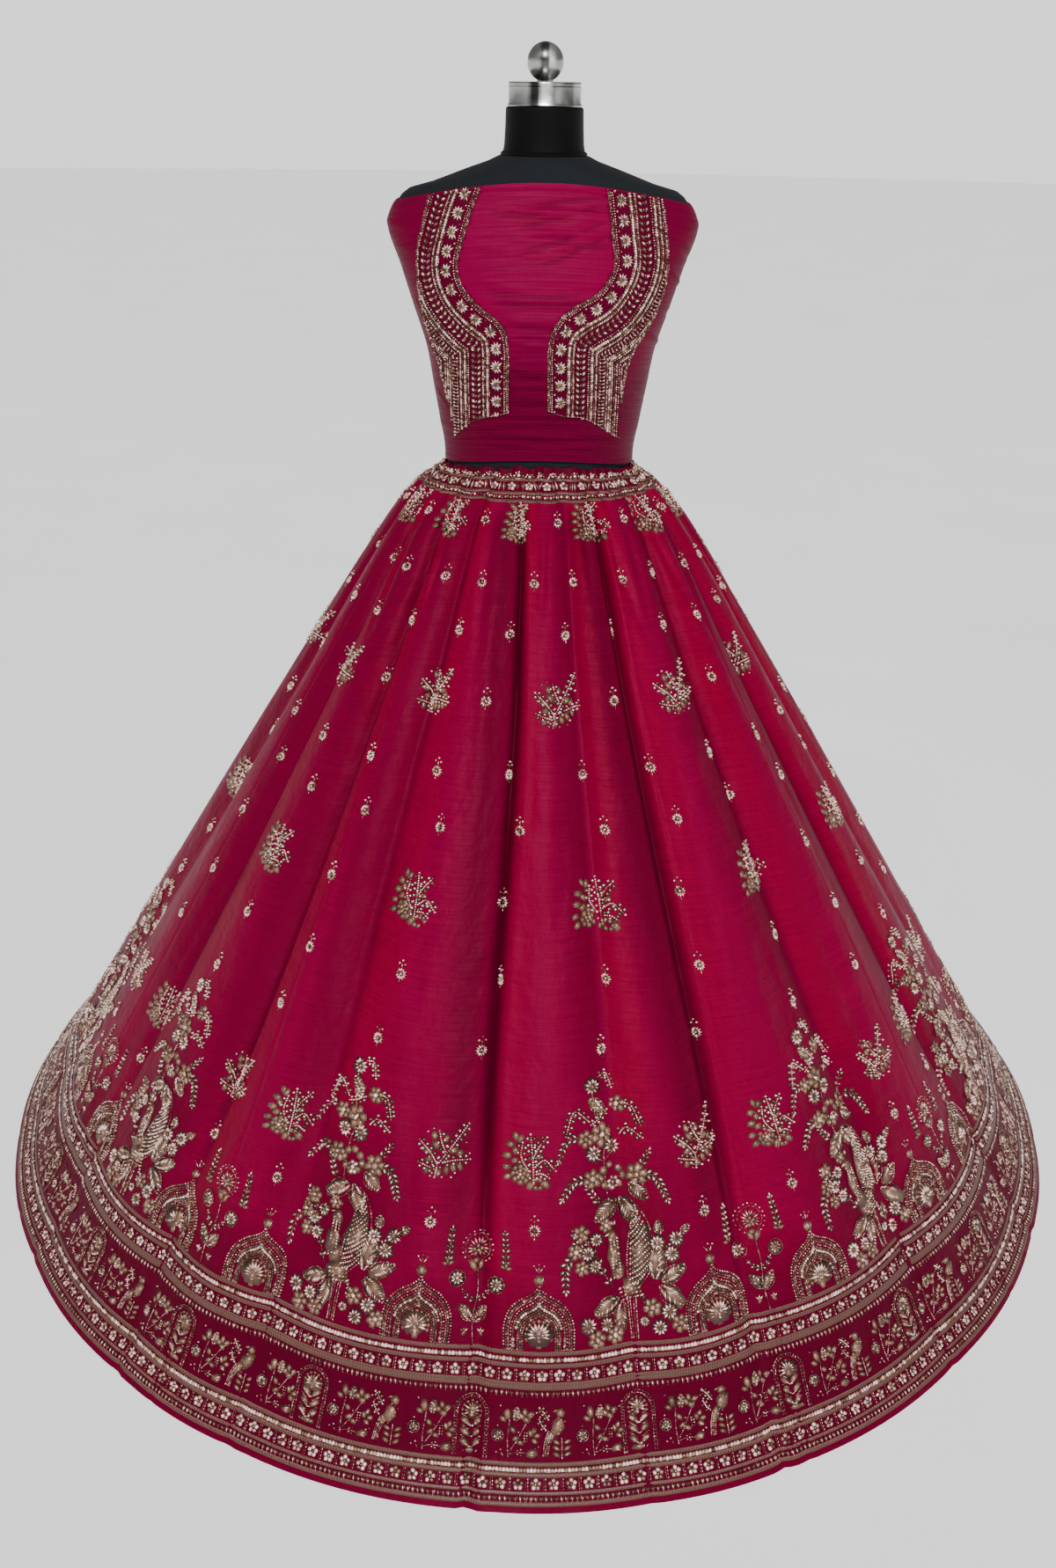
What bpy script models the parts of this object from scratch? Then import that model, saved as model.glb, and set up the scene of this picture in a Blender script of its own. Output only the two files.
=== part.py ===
"""A lehenga choli, a twelve-panel flared skirt with a wrapped blouse piece, on a limbless dress form.

Metres, +Z up. The form's axis is the Z axis, the floor is Z = 0, and the front faces -Y. An azimuth is in
degrees round that axis, from 0 at the front to 90 at +X.
"""

import math
from collections import namedtuple

import bmesh
import bpy
from mathutils import Vector

GAP = 0.0003
SMALL_STEP = 0.002
CLOTH = 0.0016
HEM_CLOTH = 0.003

KALI_COUNT = 12
KALI_DEG = 360 / KALI_COUNT
FIRST_SEAM_DEG = -5.0
KALI_COLUMNS = 10
HEM_PANELS = 3
STRIP_DEG = 180
BAND_COLUMNS = int(KALI_COLUMNS * STRIP_DEG / KALI_DEG)
CHOLI_COLUMNS = 18
FORM_COLUMNS = 36
FORM_TURN = [360 * index / FORM_COLUMNS for index in range(FORM_COLUMNS)]

# A skirt ring: its height at the front, the drop of its sides, its half width and half depth, and the
# share of each fold's full depth that it has. The waistband has the first rings and the hem the last ones.
SkirtRing = namedtuple("SkirtRing", "height side_drop half_width half_depth fold")
SKIRT_RINGS = (
    SkirtRing(1.0580, 0.014, 0.1284, 0.0994, 0.10),
    SkirtRing(1.0470, 0.010, 0.1350, 0.1045, 0.18),
    SkirtRing(1.0310, 0.005, 0.1500, 0.1160, 0.26),
    SkirtRing(1.0175, 0.000, 0.1640, 0.1270, 0.33),
    SkirtRing(0.9930, 0.000, 0.1860, 0.1520, 0.42),
    SkirtRing(0.9615, 0.000, 0.2100, 0.1830, 0.52),
    SkirtRing(0.9000, 0.000, 0.2510, 0.2330, 0.68),
    SkirtRing(0.8000, 0.000, 0.3140, 0.3040, 0.85),
    SkirtRing(0.6600, 0.000, 0.4020, 0.3980, 0.97),
    SkirtRing(0.5000, 0.000, 0.5020, 0.5010, 1.00),
    SkirtRing(0.3400, 0.000, 0.6020, 0.6020, 0.82),
    SkirtRing(0.2000, 0.000, 0.6900, 0.6900, 0.52),
    SkirtRing(0.1000, 0.000, 0.7530, 0.7530, 0.30),
    SkirtRing(0.0500, 0.000, 0.7855, 0.7855, 0.20),
    SkirtRing(0.0220, 0.000, 0.8080, 0.8080, 0.14),
    SkirtRing(0.0125, 0.000, 0.8180, 0.8180, 0.12),
    SkirtRing(0.0000, 0.000, 0.8290, 0.8290, 0.10),
)
BAND_END = 3
HEM_START = 15
SKIRT_END = len(SKIRT_RINGS) - 1

# A fold is a trough that runs down the skirt, with a rounded ridge between it and the next one. It has an
# azimuth at the waist and one from mid-height down, and its full depth.
Fold = namedtuple("Fold", "top_deg low_deg depth")
FOLDS = (
    Fold(-172.0, -170.0, 0.022),
    Fold(-155.0, -154.5, 0.026),
    Fold(-140.0, -138.0, 0.019),
    Fold(-122.0, -124.5, 0.024),
    Fold(-108.0, -108.0, 0.018),
    Fold(-93.0, -94.5, 0.025),
    Fold(-79.0, -77.5, 0.019),
    Fold(-65.0, -58.5, 0.026),
    Fold(-47.0, -40.2, 0.030),
    Fold(-28.5, -26.0, 0.028),
    Fold(-9.0, -4.8, 0.020),
    Fold(14.5, 10.2, 0.024),
    Fold(26.0, 22.8, 0.022),
    Fold(52.0, 43.0, 0.028),
    Fold(68.0, 64.0, 0.026),
    Fold(81.0, 79.5, 0.018),
    Fold(94.0, 95.5, 0.024),
    Fold(111.0, 110.0, 0.020),
    Fold(127.0, 125.5, 0.026),
    Fold(143.0, 141.0, 0.019),
    Fold(157.0, 155.5, 0.025),
    Fold(172.0, 173.0, 0.018),
)
# The ring that a fold's line has settled by, and how much of its depth lies inside the skirt's own shape.
FOLD_SETTLES_AT = 7.0
FOLD_INSIDE = 0.62

# A ring of the wrapped blouse: height, half width, depth in front of and behind the axis, squareness of
# the section, and how far the cloth stands off the form.
CholiRing = namedtuple("CholiRing", "height half_width front back power ease")
CHOLI_RINGS = (
    CholiRing(1.045, 0.1285, 0.1000, 0.0930, 2.00, 0.0020),
    CholiRing(1.070, 0.1292, 0.1005, 0.0930, 2.05, 0.0020),
    CholiRing(1.100, 0.1345, 0.1060, 0.0950, 2.20, 0.0030),
    CholiRing(1.150, 0.1425, 0.1220, 0.1000, 2.25, 0.0070),
    CholiRing(1.200, 0.1510, 0.1360, 0.1060, 2.30, 0.0040),
    CholiRing(1.250, 0.1670, 0.1320, 0.1100, 2.35, 0.0020),
    CholiRing(1.300, 0.1830, 0.1170, 0.1080, 2.40, 0.0009),
    CholiRing(1.345, 0.1985, 0.0980, 0.0980, 2.40, 0.0009),
    CholiRing(1.360, 0.1960, 0.0920, 0.0930, 2.40, 0.0009),
    CholiRing(1.375, 0.1870, 0.0850, 0.0870, 2.40, 0.0009),
    CholiRing(1.390, 0.1680, 0.0780, 0.0790, 2.35, 0.0009),
    CholiRing(1.402, 0.1400, 0.0730, 0.0720, 2.30, 0.0009),
)
CHOLI_HEM_FRONT = 1.0670
CHOLI_HEM_SIDE_DROP = 0.018
CHOLI_TOP_FRONT = 1.4000
CHOLI_TOP_SIDE_DROP = 0.0250
CHOLI_ROWS = 12

# A ring of the form where the blouse doesn't set its shape, with the drop of its sides.
FormRing = namedtuple("FormRing", "height side_drop half_width front back power")
FORM_HIP_RINGS = (
    FormRing(0.860, 0.0, 0.0600, 0.0560, 0.0600, 2.00),
    FormRing(0.866, 0.0, 0.1180, 0.0900, 0.1000, 2.10),
    FormRing(0.885, 0.0, 0.1420, 0.1030, 0.1160, 2.15),
    FormRing(0.930, 0.0, 0.1420, 0.1010, 0.1150, 2.15),
    FormRing(0.985, 0.0, 0.1330, 0.0960, 0.1020, 2.15),
    FormRing(1.020, 0.0, 0.1235, 0.0930, 0.0890, 2.00),
)
FORM_SHOULDER_RINGS = (
    FormRing(1.4025, 0.0205, 0.1790, 0.0690, 0.0680, 2.35),
    FormRing(1.4050, 0.0165, 0.1700, 0.0680, 0.0665, 2.30),
    FormRing(1.4095, 0.0135, 0.1420, 0.0655, 0.0635, 2.25),
    FormRing(1.4180, 0.0060, 0.0980, 0.0600, 0.0580, 2.15),
    FormRing(1.4240, 0.0025, 0.0700, 0.0570, 0.0550, 2.05),
    FormRing(1.4280, 0.0000, 0.0560, 0.0540, 0.0520, 2.00),
)

NECK_BASE = 1.428
NECK_TOP = 1.483
NECK_PROFILE = ((0.0505, 0.0), (0.0496, 0.012), (0.0488, 0.032), (0.0484, 0.055))
CAP_RADIUS = 0.0450
CAP_TOP = 1.5105
CAP_EDGE = 0.0012
BALL_RADIUS = 0.0217
BALL_CENTRE = 1.5333
BALL_STEM_RADIUS = 0.0070
POLE_RADIUS = 0.0160
BASE_RADIUS = 0.1600
BASE_THICKNESS = 0.0120
BASE_EDGE = 0.0030


def material(name, colour, roughness, metallic=0.0):
    made = bpy.data.materials.new(name)
    made.use_nodes = True
    shader = made.node_tree.nodes["Principled BSDF"]
    shader.inputs["Base Color"].default_value = (*colour, 1.0)
    shader.inputs["Roughness"].default_value = roughness
    shader.inputs["Metallic"].default_value = metallic
    return made


def curved(before, start, end, after, share):
    """A value between start and end, on the smooth curve that also follows their neighbours."""
    lead = (end - before) / 2
    tail = (after - start) / 2
    square, cube = share * share, share * share * share
    return (
        (2 * cube - 3 * square + 1) * start
        + (cube - 2 * square + share) * lead
        + (3 * square - 2 * cube) * end
        + (cube - square) * tail
    )


def skirt_ring(place):
    """The skirt's ring at a place that is a whole number on a ring of the table and runs between them."""
    low = min(int(place), SKIRT_END - 1)
    rings = [SKIRT_RINGS[min(max(index, 0), SKIRT_END)] for index in range(low - 1, low + 3)]
    return SkirtRing(*(curved(*values, place - low) for values in zip(*rings)))


def fold_offset(azimuth, place):
    """How far the folds move the cloth in or out, as if each had its full depth."""
    settled = min(place / FOLD_SETTLES_AT, 1.0)
    lines = [fold.top_deg + (fold.low_deg - fold.top_deg) * settled for fold in FOLDS]
    azimuth = (azimuth - lines[0]) % 360 + lines[0]
    index = max(index for index, line in enumerate(lines) if line <= azimuth + 1e-9)
    after = (index + 1) % len(FOLDS)
    width = (lines[after] - lines[index]) % 360
    share = (azimuth - lines[index]) / width
    depth = FOLDS[index].depth * (1 - share) + FOLDS[after].depth * share
    ridge = 4 * share * (1 - share)
    return depth * (ridge - FOLD_INSIDE)


def skirt_outer(azimuth, place):
    """A point on the outside of the skirt, its waistband or its hem."""
    ring = skirt_ring(place)
    side = math.sin(math.radians(azimuth))
    front = math.cos(math.radians(azimuth))
    moved = ring.fold * fold_offset(azimuth, place)
    return Vector(
        (
            (ring.half_width + moved) * side,
            -(ring.half_depth + moved) * front,
            ring.height - ring.side_drop * side * side,
        )
    )


def table_at(rings, height):
    """A row of a table of rings, read at any height between its first and its last ring."""
    height = min(max(height, rings[0].height), rings[-1].height)
    low = max(index for index in range(len(rings) - 1) if rings[index].height <= height)
    share = (height - rings[low].height) / (rings[low + 1].height - rings[low].height)
    near = [rings[min(max(index, 0), len(rings) - 1)] for index in range(low - 1, low + 3)]
    return type(rings[0])(*(curved(*values, share) for values in zip(*near)))


def section_point(azimuth, height, half_width, front, back, power):
    """A point on a rounded section that is wide, shallow and slightly square."""
    side = math.sin(math.radians(azimuth))
    ahead = math.cos(math.radians(azimuth))
    depth = front if ahead > 0 else back
    x = math.copysign(abs(side) ** (2 / power), side) * half_width
    y = -math.copysign(abs(ahead) ** (2 / power), ahead) * depth
    return Vector((x, y, height))


def choli_point(azimuth, share, inset_share):
    """A point on the blouse, or with an inset share of 1 on the form under it."""
    sideways = math.sin(math.radians(azimuth)) ** 2
    low = CHOLI_HEM_FRONT - CHOLI_HEM_SIDE_DROP * sideways
    high = CHOLI_TOP_FRONT - CHOLI_TOP_SIDE_DROP * sideways
    height = low + (high - low) * share
    ring = table_at(CHOLI_RINGS, height)
    inset = inset_share * (ring.ease + CLOTH)
    return section_point(
        azimuth, height, ring.half_width - inset, ring.front - inset, ring.back - inset, ring.power
    )


def choli_outer(azimuth, share):
    """A point on the outside of the blouse, from 0 at its lower edge to 1 at its upper edge."""
    return choli_point(azimuth, share, 0)


def outward(surface, across, along):
    """The outward unit normal of a surface function."""
    sideways = surface(across + SMALL_STEP, along) - surface(across - SMALL_STEP, along)
    lengthways = surface(across, along + SMALL_STEP) - surface(across, along - SMALL_STEP)
    normal = sideways.cross(lengthways).normalized()
    point = surface(across, along)
    return normal if normal.dot(Vector((point.x, point.y, 0))) > 0 else -normal


def add_object(name, mesh_data, finish, smooth=True):
    mesh = bpy.data.meshes.new(name)
    bmesh.ops.recalc_face_normals(mesh_data, faces=mesh_data.faces)
    for face in mesh_data.faces:
        face.smooth = smooth
    mesh_data.to_mesh(mesh)
    mesh_data.free()
    made = bpy.data.objects.new(name, mesh)
    made.data.materials.append(finish)
    parts.objects.link(made)
    return made


def wall(name, surface, columns, rows, thickness, finish):
    """A cloth wall: a grid on the surface, a second grid inside it and a rim all round."""
    made = bmesh.new()
    outside, inside = [], []
    for row in rows:
        points = [surface(column, row) for column in columns]
        normals = [outward(surface, column, row) for column in columns]
        outside.append([made.verts.new(point) for point in points])
        inside.append([made.verts.new(p - n * thickness) for p, n in zip(points, normals)])
    last_row, last_column = len(rows) - 1, len(columns) - 1
    for grid in (outside, inside):
        for row in range(last_row):
            for column in range(last_column):
                a, b = grid[row][column], grid[row][column + 1]
                c, d = grid[row + 1][column + 1], grid[row + 1][column]
                made.faces.new((a, b, c, d))
    for row in (0, last_row):
        for column in range(last_column):
            a, b = outside[row][column], outside[row][column + 1]
            made.faces.new((a, b, inside[row][column + 1], inside[row][column]))
    for column in (0, last_column):
        for row in range(last_row):
            a, b = outside[row][column], outside[row + 1][column]
            made.faces.new((a, b, inside[row + 1][column], inside[row][column]))
    return add_object(name, made, finish)


def spread(start, end, count):
    return [start + (end - start) * index / count for index in range(count + 1)]


def gap_degrees(radius):
    """The azimuth that half a seam gap takes up at a radius."""
    return math.degrees(GAP / 2 / radius)


def place_after(place, distance):
    """The place on the skirt that lies a short distance below another, along the cloth."""
    length = (skirt_outer(0, place + SMALL_STEP) - skirt_outer(0, place)).length
    return place + distance * SMALL_STEP / length


def panel_surface(seam_deg, width_deg):
    """The skirt's outside from one seam to another, as a function of a share of the way, clear of both."""

    def surface(share, place):
        ring = skirt_ring(place)
        edge = gap_degrees(min(ring.half_width, ring.half_depth) - CLOTH)
        start, end = seam_deg + edge, seam_deg + width_deg - edge
        return skirt_outer(start + (end - start) * share, place)

    return surface


def make_skirt(silk):
    """The flared panels, from the waistband down to the hem."""
    rows = [place_after(BAND_END, GAP), *range(BAND_END + 1, HEM_START + 1)]
    for index in range(KALI_COUNT):
        surface = panel_surface(FIRST_SEAM_DEG + index * KALI_DEG, KALI_DEG)
        wall(f"kali_{index + 1:02d}", surface, spread(0, 1, KALI_COLUMNS), rows, CLOTH, silk)


def make_hem(silk):
    """The plain turned hem, in strips that are each as wide as several panels."""
    rows = [place_after(HEM_START, GAP), SKIRT_END]
    width = HEM_PANELS * KALI_DEG
    for index in range(KALI_COUNT // HEM_PANELS):
        surface = panel_surface(FIRST_SEAM_DEG + index * width, width)
        shares = spread(0, 1, HEM_PANELS * KALI_COLUMNS)
        strip = wall(f"hem_strip_{index + 1}", surface, shares, rows, HEM_CLOTH, silk)
        flatten_foot(strip)


def flatten_foot(strip):
    """Sets the strip's lower rim on the floor."""
    for vertex in strip.data.vertices:
        if vertex.co.z < SKIRT_RINGS[HEM_START].height / 2:
            vertex.co.z = 0.0


def make_waistband(silk):
    """Two strips that meet at the sides, with the pleats running on up from the skirt's panels."""
    first = FIRST_SEAM_DEG - STRIP_DEG / 2
    for name, start in (("waistband_front", first), ("waistband_back", first + STRIP_DEG)):
        edge = gap_degrees(SKIRT_RINGS[0].half_depth - CLOTH)
        columns = spread(start, start + STRIP_DEG, BAND_COLUMNS)
        columns[0] += edge
        columns[-1] -= edge
        wall(name, skirt_outer, columns, range(BAND_END + 1), CLOTH, silk)


def make_choli(silk):
    """The blouse piece, front and back, which meet under the arms."""
    for name, middle in (("choli_front", 0), ("choli_back", 180)):
        edge = gap_degrees(CHOLI_RINGS[0].back - CLOTH)
        columns = spread(middle - 90 + edge, middle + 90 - edge, CHOLI_COLUMNS)
        wall(name, choli_outer, columns, spread(0, 1, CHOLI_ROWS), CLOTH, silk)


def form_loop(ring):
    """The form's section at one of its own rings."""
    return [
        section_point(
            azimuth,
            ring.height - ring.side_drop * math.sin(math.radians(azimuth)) ** 2,
            ring.half_width,
            ring.front,
            ring.back,
            ring.power,
        )
        for azimuth in FORM_TURN
    ]


def make_torso(shell):
    """The form's body: hips, the shape under the blouse, and the shoulders up to the neck."""
    sections = [form_loop(ring) for ring in FORM_HIP_RINGS]
    for share in spread(0, 1, CHOLI_ROWS):
        sections.append([choli_point(azimuth, share, 1) for azimuth in FORM_TURN])
    sections += [form_loop(ring) for ring in FORM_SHOULDER_RINGS]
    made = bmesh.new()
    loops = [[made.verts.new(point) for point in section] for section in sections]
    for lower, upper in zip(loops, loops[1:]):
        for index in range(FORM_COLUMNS):
            after = (index + 1) % FORM_COLUMNS
            made.faces.new((lower[index], lower[after], upper[after], upper[index]))
    made.faces.new(loops[0])
    made.faces.new(loops[-1])
    return add_object("form_torso", made, shell)


def turned(name, profile, height, finish, steps):
    """A turned solid. The profile runs down its outer side, from the axis at the top to the axis below."""
    mesh = bpy.data.meshes.new(name)
    points = [(radius, 0, z) for radius, z in profile]
    mesh.from_pydata(points, [(index, index + 1) for index in range(len(points) - 1)], [])
    made = bpy.data.objects.new(name, mesh)
    made.location = (0, 0, height)
    mesh.materials.append(finish)
    parts.objects.link(made)
    screw = made.modifiers.new("turn", "SCREW")
    screw.axis = "Z"
    screw.steps = steps
    screw.render_steps = steps
    screw.use_merge_vertices = True
    screw.merge_threshold = 0.00001
    screw.use_smooth_shade = True
    return made


def make_neck(shell):
    profile = [(0, NECK_TOP - NECK_BASE)]
    profile += [(radius, z) for radius, z in reversed(NECK_PROFILE)]
    turned("form_neck", [*profile, (0, 0)], NECK_BASE + GAP, shell, 36)


def make_neck_cap(chrome):
    """The metal cap on the neck, with a small round on its top and bottom edges."""
    height = CAP_TOP - NECK_TOP - 2 * GAP
    profile = (
        (0, height),
        (CAP_RADIUS - CAP_EDGE, height),
        (CAP_RADIUS, height - CAP_EDGE),
        (CAP_RADIUS, CAP_EDGE),
        (CAP_RADIUS - CAP_EDGE, 0),
        (0, 0),
    )
    turned("neck_cap", profile, NECK_TOP + 2 * GAP, chrome, 40)


def make_ball(chrome):
    """The ball on the cap, with the short stem that it stands on."""
    lowest = math.asin(BALL_STEM_RADIUS / BALL_RADIUS)
    angles = spread(math.pi, lowest, 10)
    profile = [(BALL_RADIUS * math.sin(a), -BALL_RADIUS * math.cos(a)) for a in angles[1:]]
    foot = CAP_TOP + GAP - BALL_CENTRE
    profile = [(0, BALL_RADIUS), *profile, (BALL_STEM_RADIUS, foot), (0, foot)]
    turned("cap_ball", profile, BALL_CENTRE, chrome, 24)


def make_stand(metal):
    """A plain pole and a weighted disc, hidden under the skirt."""
    bottom = FORM_HIP_RINGS[0].height - GAP
    foot = BASE_THICKNESS + GAP
    pole = ((0, bottom - foot), (POLE_RADIUS, bottom - foot), (POLE_RADIUS, 0), (0, 0))
    turned("stand_pole", pole, foot, metal, 24)
    disc = (
        (0, BASE_THICKNESS),
        (BASE_RADIUS - BASE_EDGE, BASE_THICKNESS),
        (BASE_RADIUS, BASE_THICKNESS - BASE_EDGE),
        (BASE_RADIUS, 0),
        (0, 0),
    )
    turned("stand_base", disc, 0, metal, 36)


for old in list(bpy.data.objects):
    bpy.data.objects.remove(old, do_unlink=True)

parts = bpy.data.collections.new("lehenga_choli")
bpy.context.scene.collection.children.link(parts)

skirt_silk = material("skirt_silk", (0.43, 0.012, 0.075), 0.48)
choli_silk = material("choli_silk", (0.40, 0.010, 0.085), 0.50)
form_cloth = material("form_cloth", (0.030, 0.034, 0.038), 0.85)
chrome_metal = material("chrome_metal", (0.72, 0.71, 0.68), 0.12, 1.0)
stand_metal = material("stand_metal", (0.10, 0.10, 0.105), 0.35, 1.0)

make_skirt(skirt_silk)
make_hem(skirt_silk)
make_waistband(skirt_silk)
make_choli(choli_silk)
make_torso(form_cloth)
make_neck(form_cloth)
make_neck_cap(chrome_metal)
make_ball(chrome_metal)
make_stand(stand_metal)
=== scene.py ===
"""A lehenga choli on a dress form: the looks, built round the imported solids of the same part.

Metres, +Z up, front along -Y. An azimuth is in degrees round the form's axis, from 0 at the front to 90 at
+X. "Up" is a distance along the skirt's cloth, measured from its lower edge. Motifs are laid out in
millimetres, with x to the right and y up the cloth.
"""

from collections import namedtuple
from math import asin, cos, degrees, pi, radians, sin

import bmesh
import bpy
import numpy as np
from bpy.props import FloatProperty, FloatVectorProperty, PointerProperty
from bpy.types import Operator, Panel, PropertyGroup
from mathutils import Matrix, Vector


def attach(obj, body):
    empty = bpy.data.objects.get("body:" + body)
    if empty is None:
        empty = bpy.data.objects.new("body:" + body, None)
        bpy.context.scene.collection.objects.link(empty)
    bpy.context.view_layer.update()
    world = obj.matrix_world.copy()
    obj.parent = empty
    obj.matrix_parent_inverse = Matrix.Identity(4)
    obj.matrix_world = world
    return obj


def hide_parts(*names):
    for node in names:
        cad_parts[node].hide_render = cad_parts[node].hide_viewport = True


bl_info = {
    "name": "Lehenga Choli",
    "version": (1, 0, 0),
    "blender": (4, 5, 0),
    "location": "View3D > Sidebar > Lehenga",
    "description": "Embroidered lehenga choli on a limbless dress form",
    "category": "Object",
}

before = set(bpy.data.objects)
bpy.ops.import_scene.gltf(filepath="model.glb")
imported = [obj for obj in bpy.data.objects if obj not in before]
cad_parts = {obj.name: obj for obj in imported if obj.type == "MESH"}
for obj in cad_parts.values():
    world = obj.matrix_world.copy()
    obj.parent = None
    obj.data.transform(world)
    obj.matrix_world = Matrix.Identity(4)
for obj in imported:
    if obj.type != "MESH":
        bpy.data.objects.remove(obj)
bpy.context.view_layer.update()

MM = 0.001
KALI_COUNT = 12
KALI_DEG = 360 / KALI_COUNT
FIRST_SEAM_DEG = -5.0
HEM_PANELS = 3
HEM_STRIPS = KALI_COUNT // HEM_PANELS
STRIP_DEG = 180.0
SEAM_GAP = 0.0003


def table(columns, *rows):
    """Rows whose values have names."""
    row_kind = namedtuple("Row", columns)
    return tuple(row_kind(*row) for row in rows)


# The skirt's rings from the waist down: height at the front, drop of the sides, half width, half depth, and
# the share of each fold's depth. The waistband has the first rings and the turned hem the last ones.
SKIRT_RINGS = table(
    "height side_drop half_width half_depth fold",
    (1.058, 0.014, 0.1284, 0.0994, 0.1), (1.047, 0.01, 0.135, 0.1045, 0.18),
    (1.031, 0.005, 0.15, 0.116, 0.26), (1.0175, 0, 0.164, 0.127, 0.33), (0.993, 0, 0.186, 0.152, 0.42),
    (0.9615, 0, 0.21, 0.183, 0.52), (0.9, 0, 0.251, 0.233, 0.68), (0.8, 0, 0.314, 0.304, 0.85),
    (0.66, 0, 0.402, 0.398, 0.97), (0.5, 0, 0.502, 0.501, 1), (0.34, 0, 0.602, 0.602, 0.82),
    (0.2, 0, 0.69, 0.69, 0.52), (0.1, 0, 0.753, 0.753, 0.3), (0.05, 0, 0.7855, 0.7855, 0.2),
    (0.022, 0, 0.808, 0.808, 0.14), (0.0125, 0, 0.818, 0.818, 0.12), (0, 0, 0.829, 0.829, 0.1),
)
BAND_END = 3
HEM_START = 15
SKIRT_END = len(SKIRT_RINGS) - 1
FOLD_SETTLES_AT = 7.0
FOLD_INSIDE = 0.62

# A fold: its azimuth at the waist and from mid-height down, its depth, and how softly its trough is rounded,
# from 0 for a pressed line to about 0.4.
FOLDS = table(
    "top_deg low_deg depth soft",
    (-172, -170, 0.022, 0.25), (-155, -154.5, 0.026, 0.05), (-140, -138, 0.019, 0.3),
    (-122, -124.5, 0.024, 0.1), (-108, -108, 0.018, 0.3), (-93, -94.5, 0.025, 0.05),
    (-79, -77.5, 0.019, 0.3), (-65, -58.5, 0.026, 0.18), (-47, -40.2, 0.03, 0.15),
    (-28.5, -26, 0.028, 0.22), (-9, -4.8, 0.02, 0.02), (14.5, 10.2, 0.024, 0.28), (26, 22.8, 0.022, 0.02),
    (52, 43, 0.028, 0.2), (68, 64, 0.026, 0.15), (81, 79.5, 0.018, 0.3), (94, 95.5, 0.024, 0.1),
    (111, 110, 0.02, 0.3), (127, 125.5, 0.026, 0.08), (143, 141, 0.019, 0.3), (157, 155.5, 0.025, 0.12),
    (172, 173, 0.018, 0.28),
)

# A small crease in the skirt, from one azimuth and distance up to another. Its depth and width are in
# millimetres, and a negative depth is a trough.
SKIRT_CREASES = table(
    "from_deg from_up to_deg to_up depth width",
    (-19, 1.235, -15.5, 1.02, -4.5, 8), (3, 1.235, 1, 1.06, -3.5, 7), (38, 1.235, 33, 1.03, -4.5, 9),
    (-38, 1.235, -33, 1.05, -4, 8), (-56, 1.235, -50, 1, -4, 8), (19, 1.235, 17, 1.1, -3, 6),
    (60, 1.23, 54, 1.02, -4, 8), (-13.5, 1.21, -11, 0.8, 2.2, 11), (6.5, 1.1, 4, 0.62, -2.6, 14),
    (-20, 0.98, -16, 0.5, -3, 16), (30.5, 1.02, 28, 0.48, -2.6, 15), (-33.5, 0.9, -31.5, 0.42, -2.8, 13),
    (16, 0.86, 17.5, 0.4, -2.2, 18), (36, 0.72, 37, 0.24, -3, 18), (-14, 0.6, -13, 0.16, -3.2, 20),
    (2.5, 0.5, 3.5, 0.12, -2.6, 22), (-30, 0.44, -31, 0.1, -2.8, 20), (18.5, 1.075, 23.5, 1.085, -1.8, 3.5),
    (17.5, 1.025, 22.8, 1.032, -1.5, 3.5), (15, 0.905, 20.5, 0.94, -1.4, 5),
    (-4.6, 0.812, 3, 0.865, -2.6, 6), (-4.6, 0.77, 1.5, 0.8, 1.6, 6), (8, 0.79, 14.5, 0.755, -1.4, 6),
    (-24, 0.92, -17.5, 0.95, -1.4, 5), (-19, 0.69, -12.5, 0.66, -1.5, 6), (-3.5, 0.63, 3, 0.66, -1.6, 6.5),
    (11, 0.6, 16, 0.555, -1.5, 7), (13.5, 0.52, 18.5, 0.535, -1.6, 6), (23.5, 0.64, 28, 0.685, -1.6, 6),
    (24, 0.41, 30, 0.395, -1.4, 7), (-38.5, 0.63, -33, 0.66, -1.5, 6), (-25, 0.39, -19.5, 0.425, -1.6, 7),
    (-10, 0.44, -5.2, 0.47, -1.5, 6), (4, 0.345, 9, 0.37, -1.4, 7), (-2, 0.475, 4, 0.455, -1.2, 5),
    (31, 0.88, 36.5, 0.86, -1.5, 5), (-45, 0.83, -40.5, 0.87, -1.5, 5.5), (33, 0.56, 39, 0.6, -1.6, 6.5),
)
# The same creases come again round the skirt: where they are turned to, which way round, and how deep.
CREASE_TURNS = table(
    "turn_deg way depth",
    (0, 1, 1), (86, -1, 0.9), (178, 1, 1.15), (-93, -1, 1),
)
GROOVE_DEPTH = 8.0 * MM
GROOVE_WIDTH = 7.5 * MM
# The parts of a crisp fold line, in groove widths: how far each lies from the line, and its own width. The
# third is the broad side in shade, which sets only painted shade.
GROOVE_PARTS = ((0, 1), (2.1, 1.2), (-4.2, 3.9))
BAND_TUCKS = 44
BAND_TUCK_DEPTH = 5.4 * MM
BAND_TUCK_WIDTH = 3.6 * MM

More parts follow.
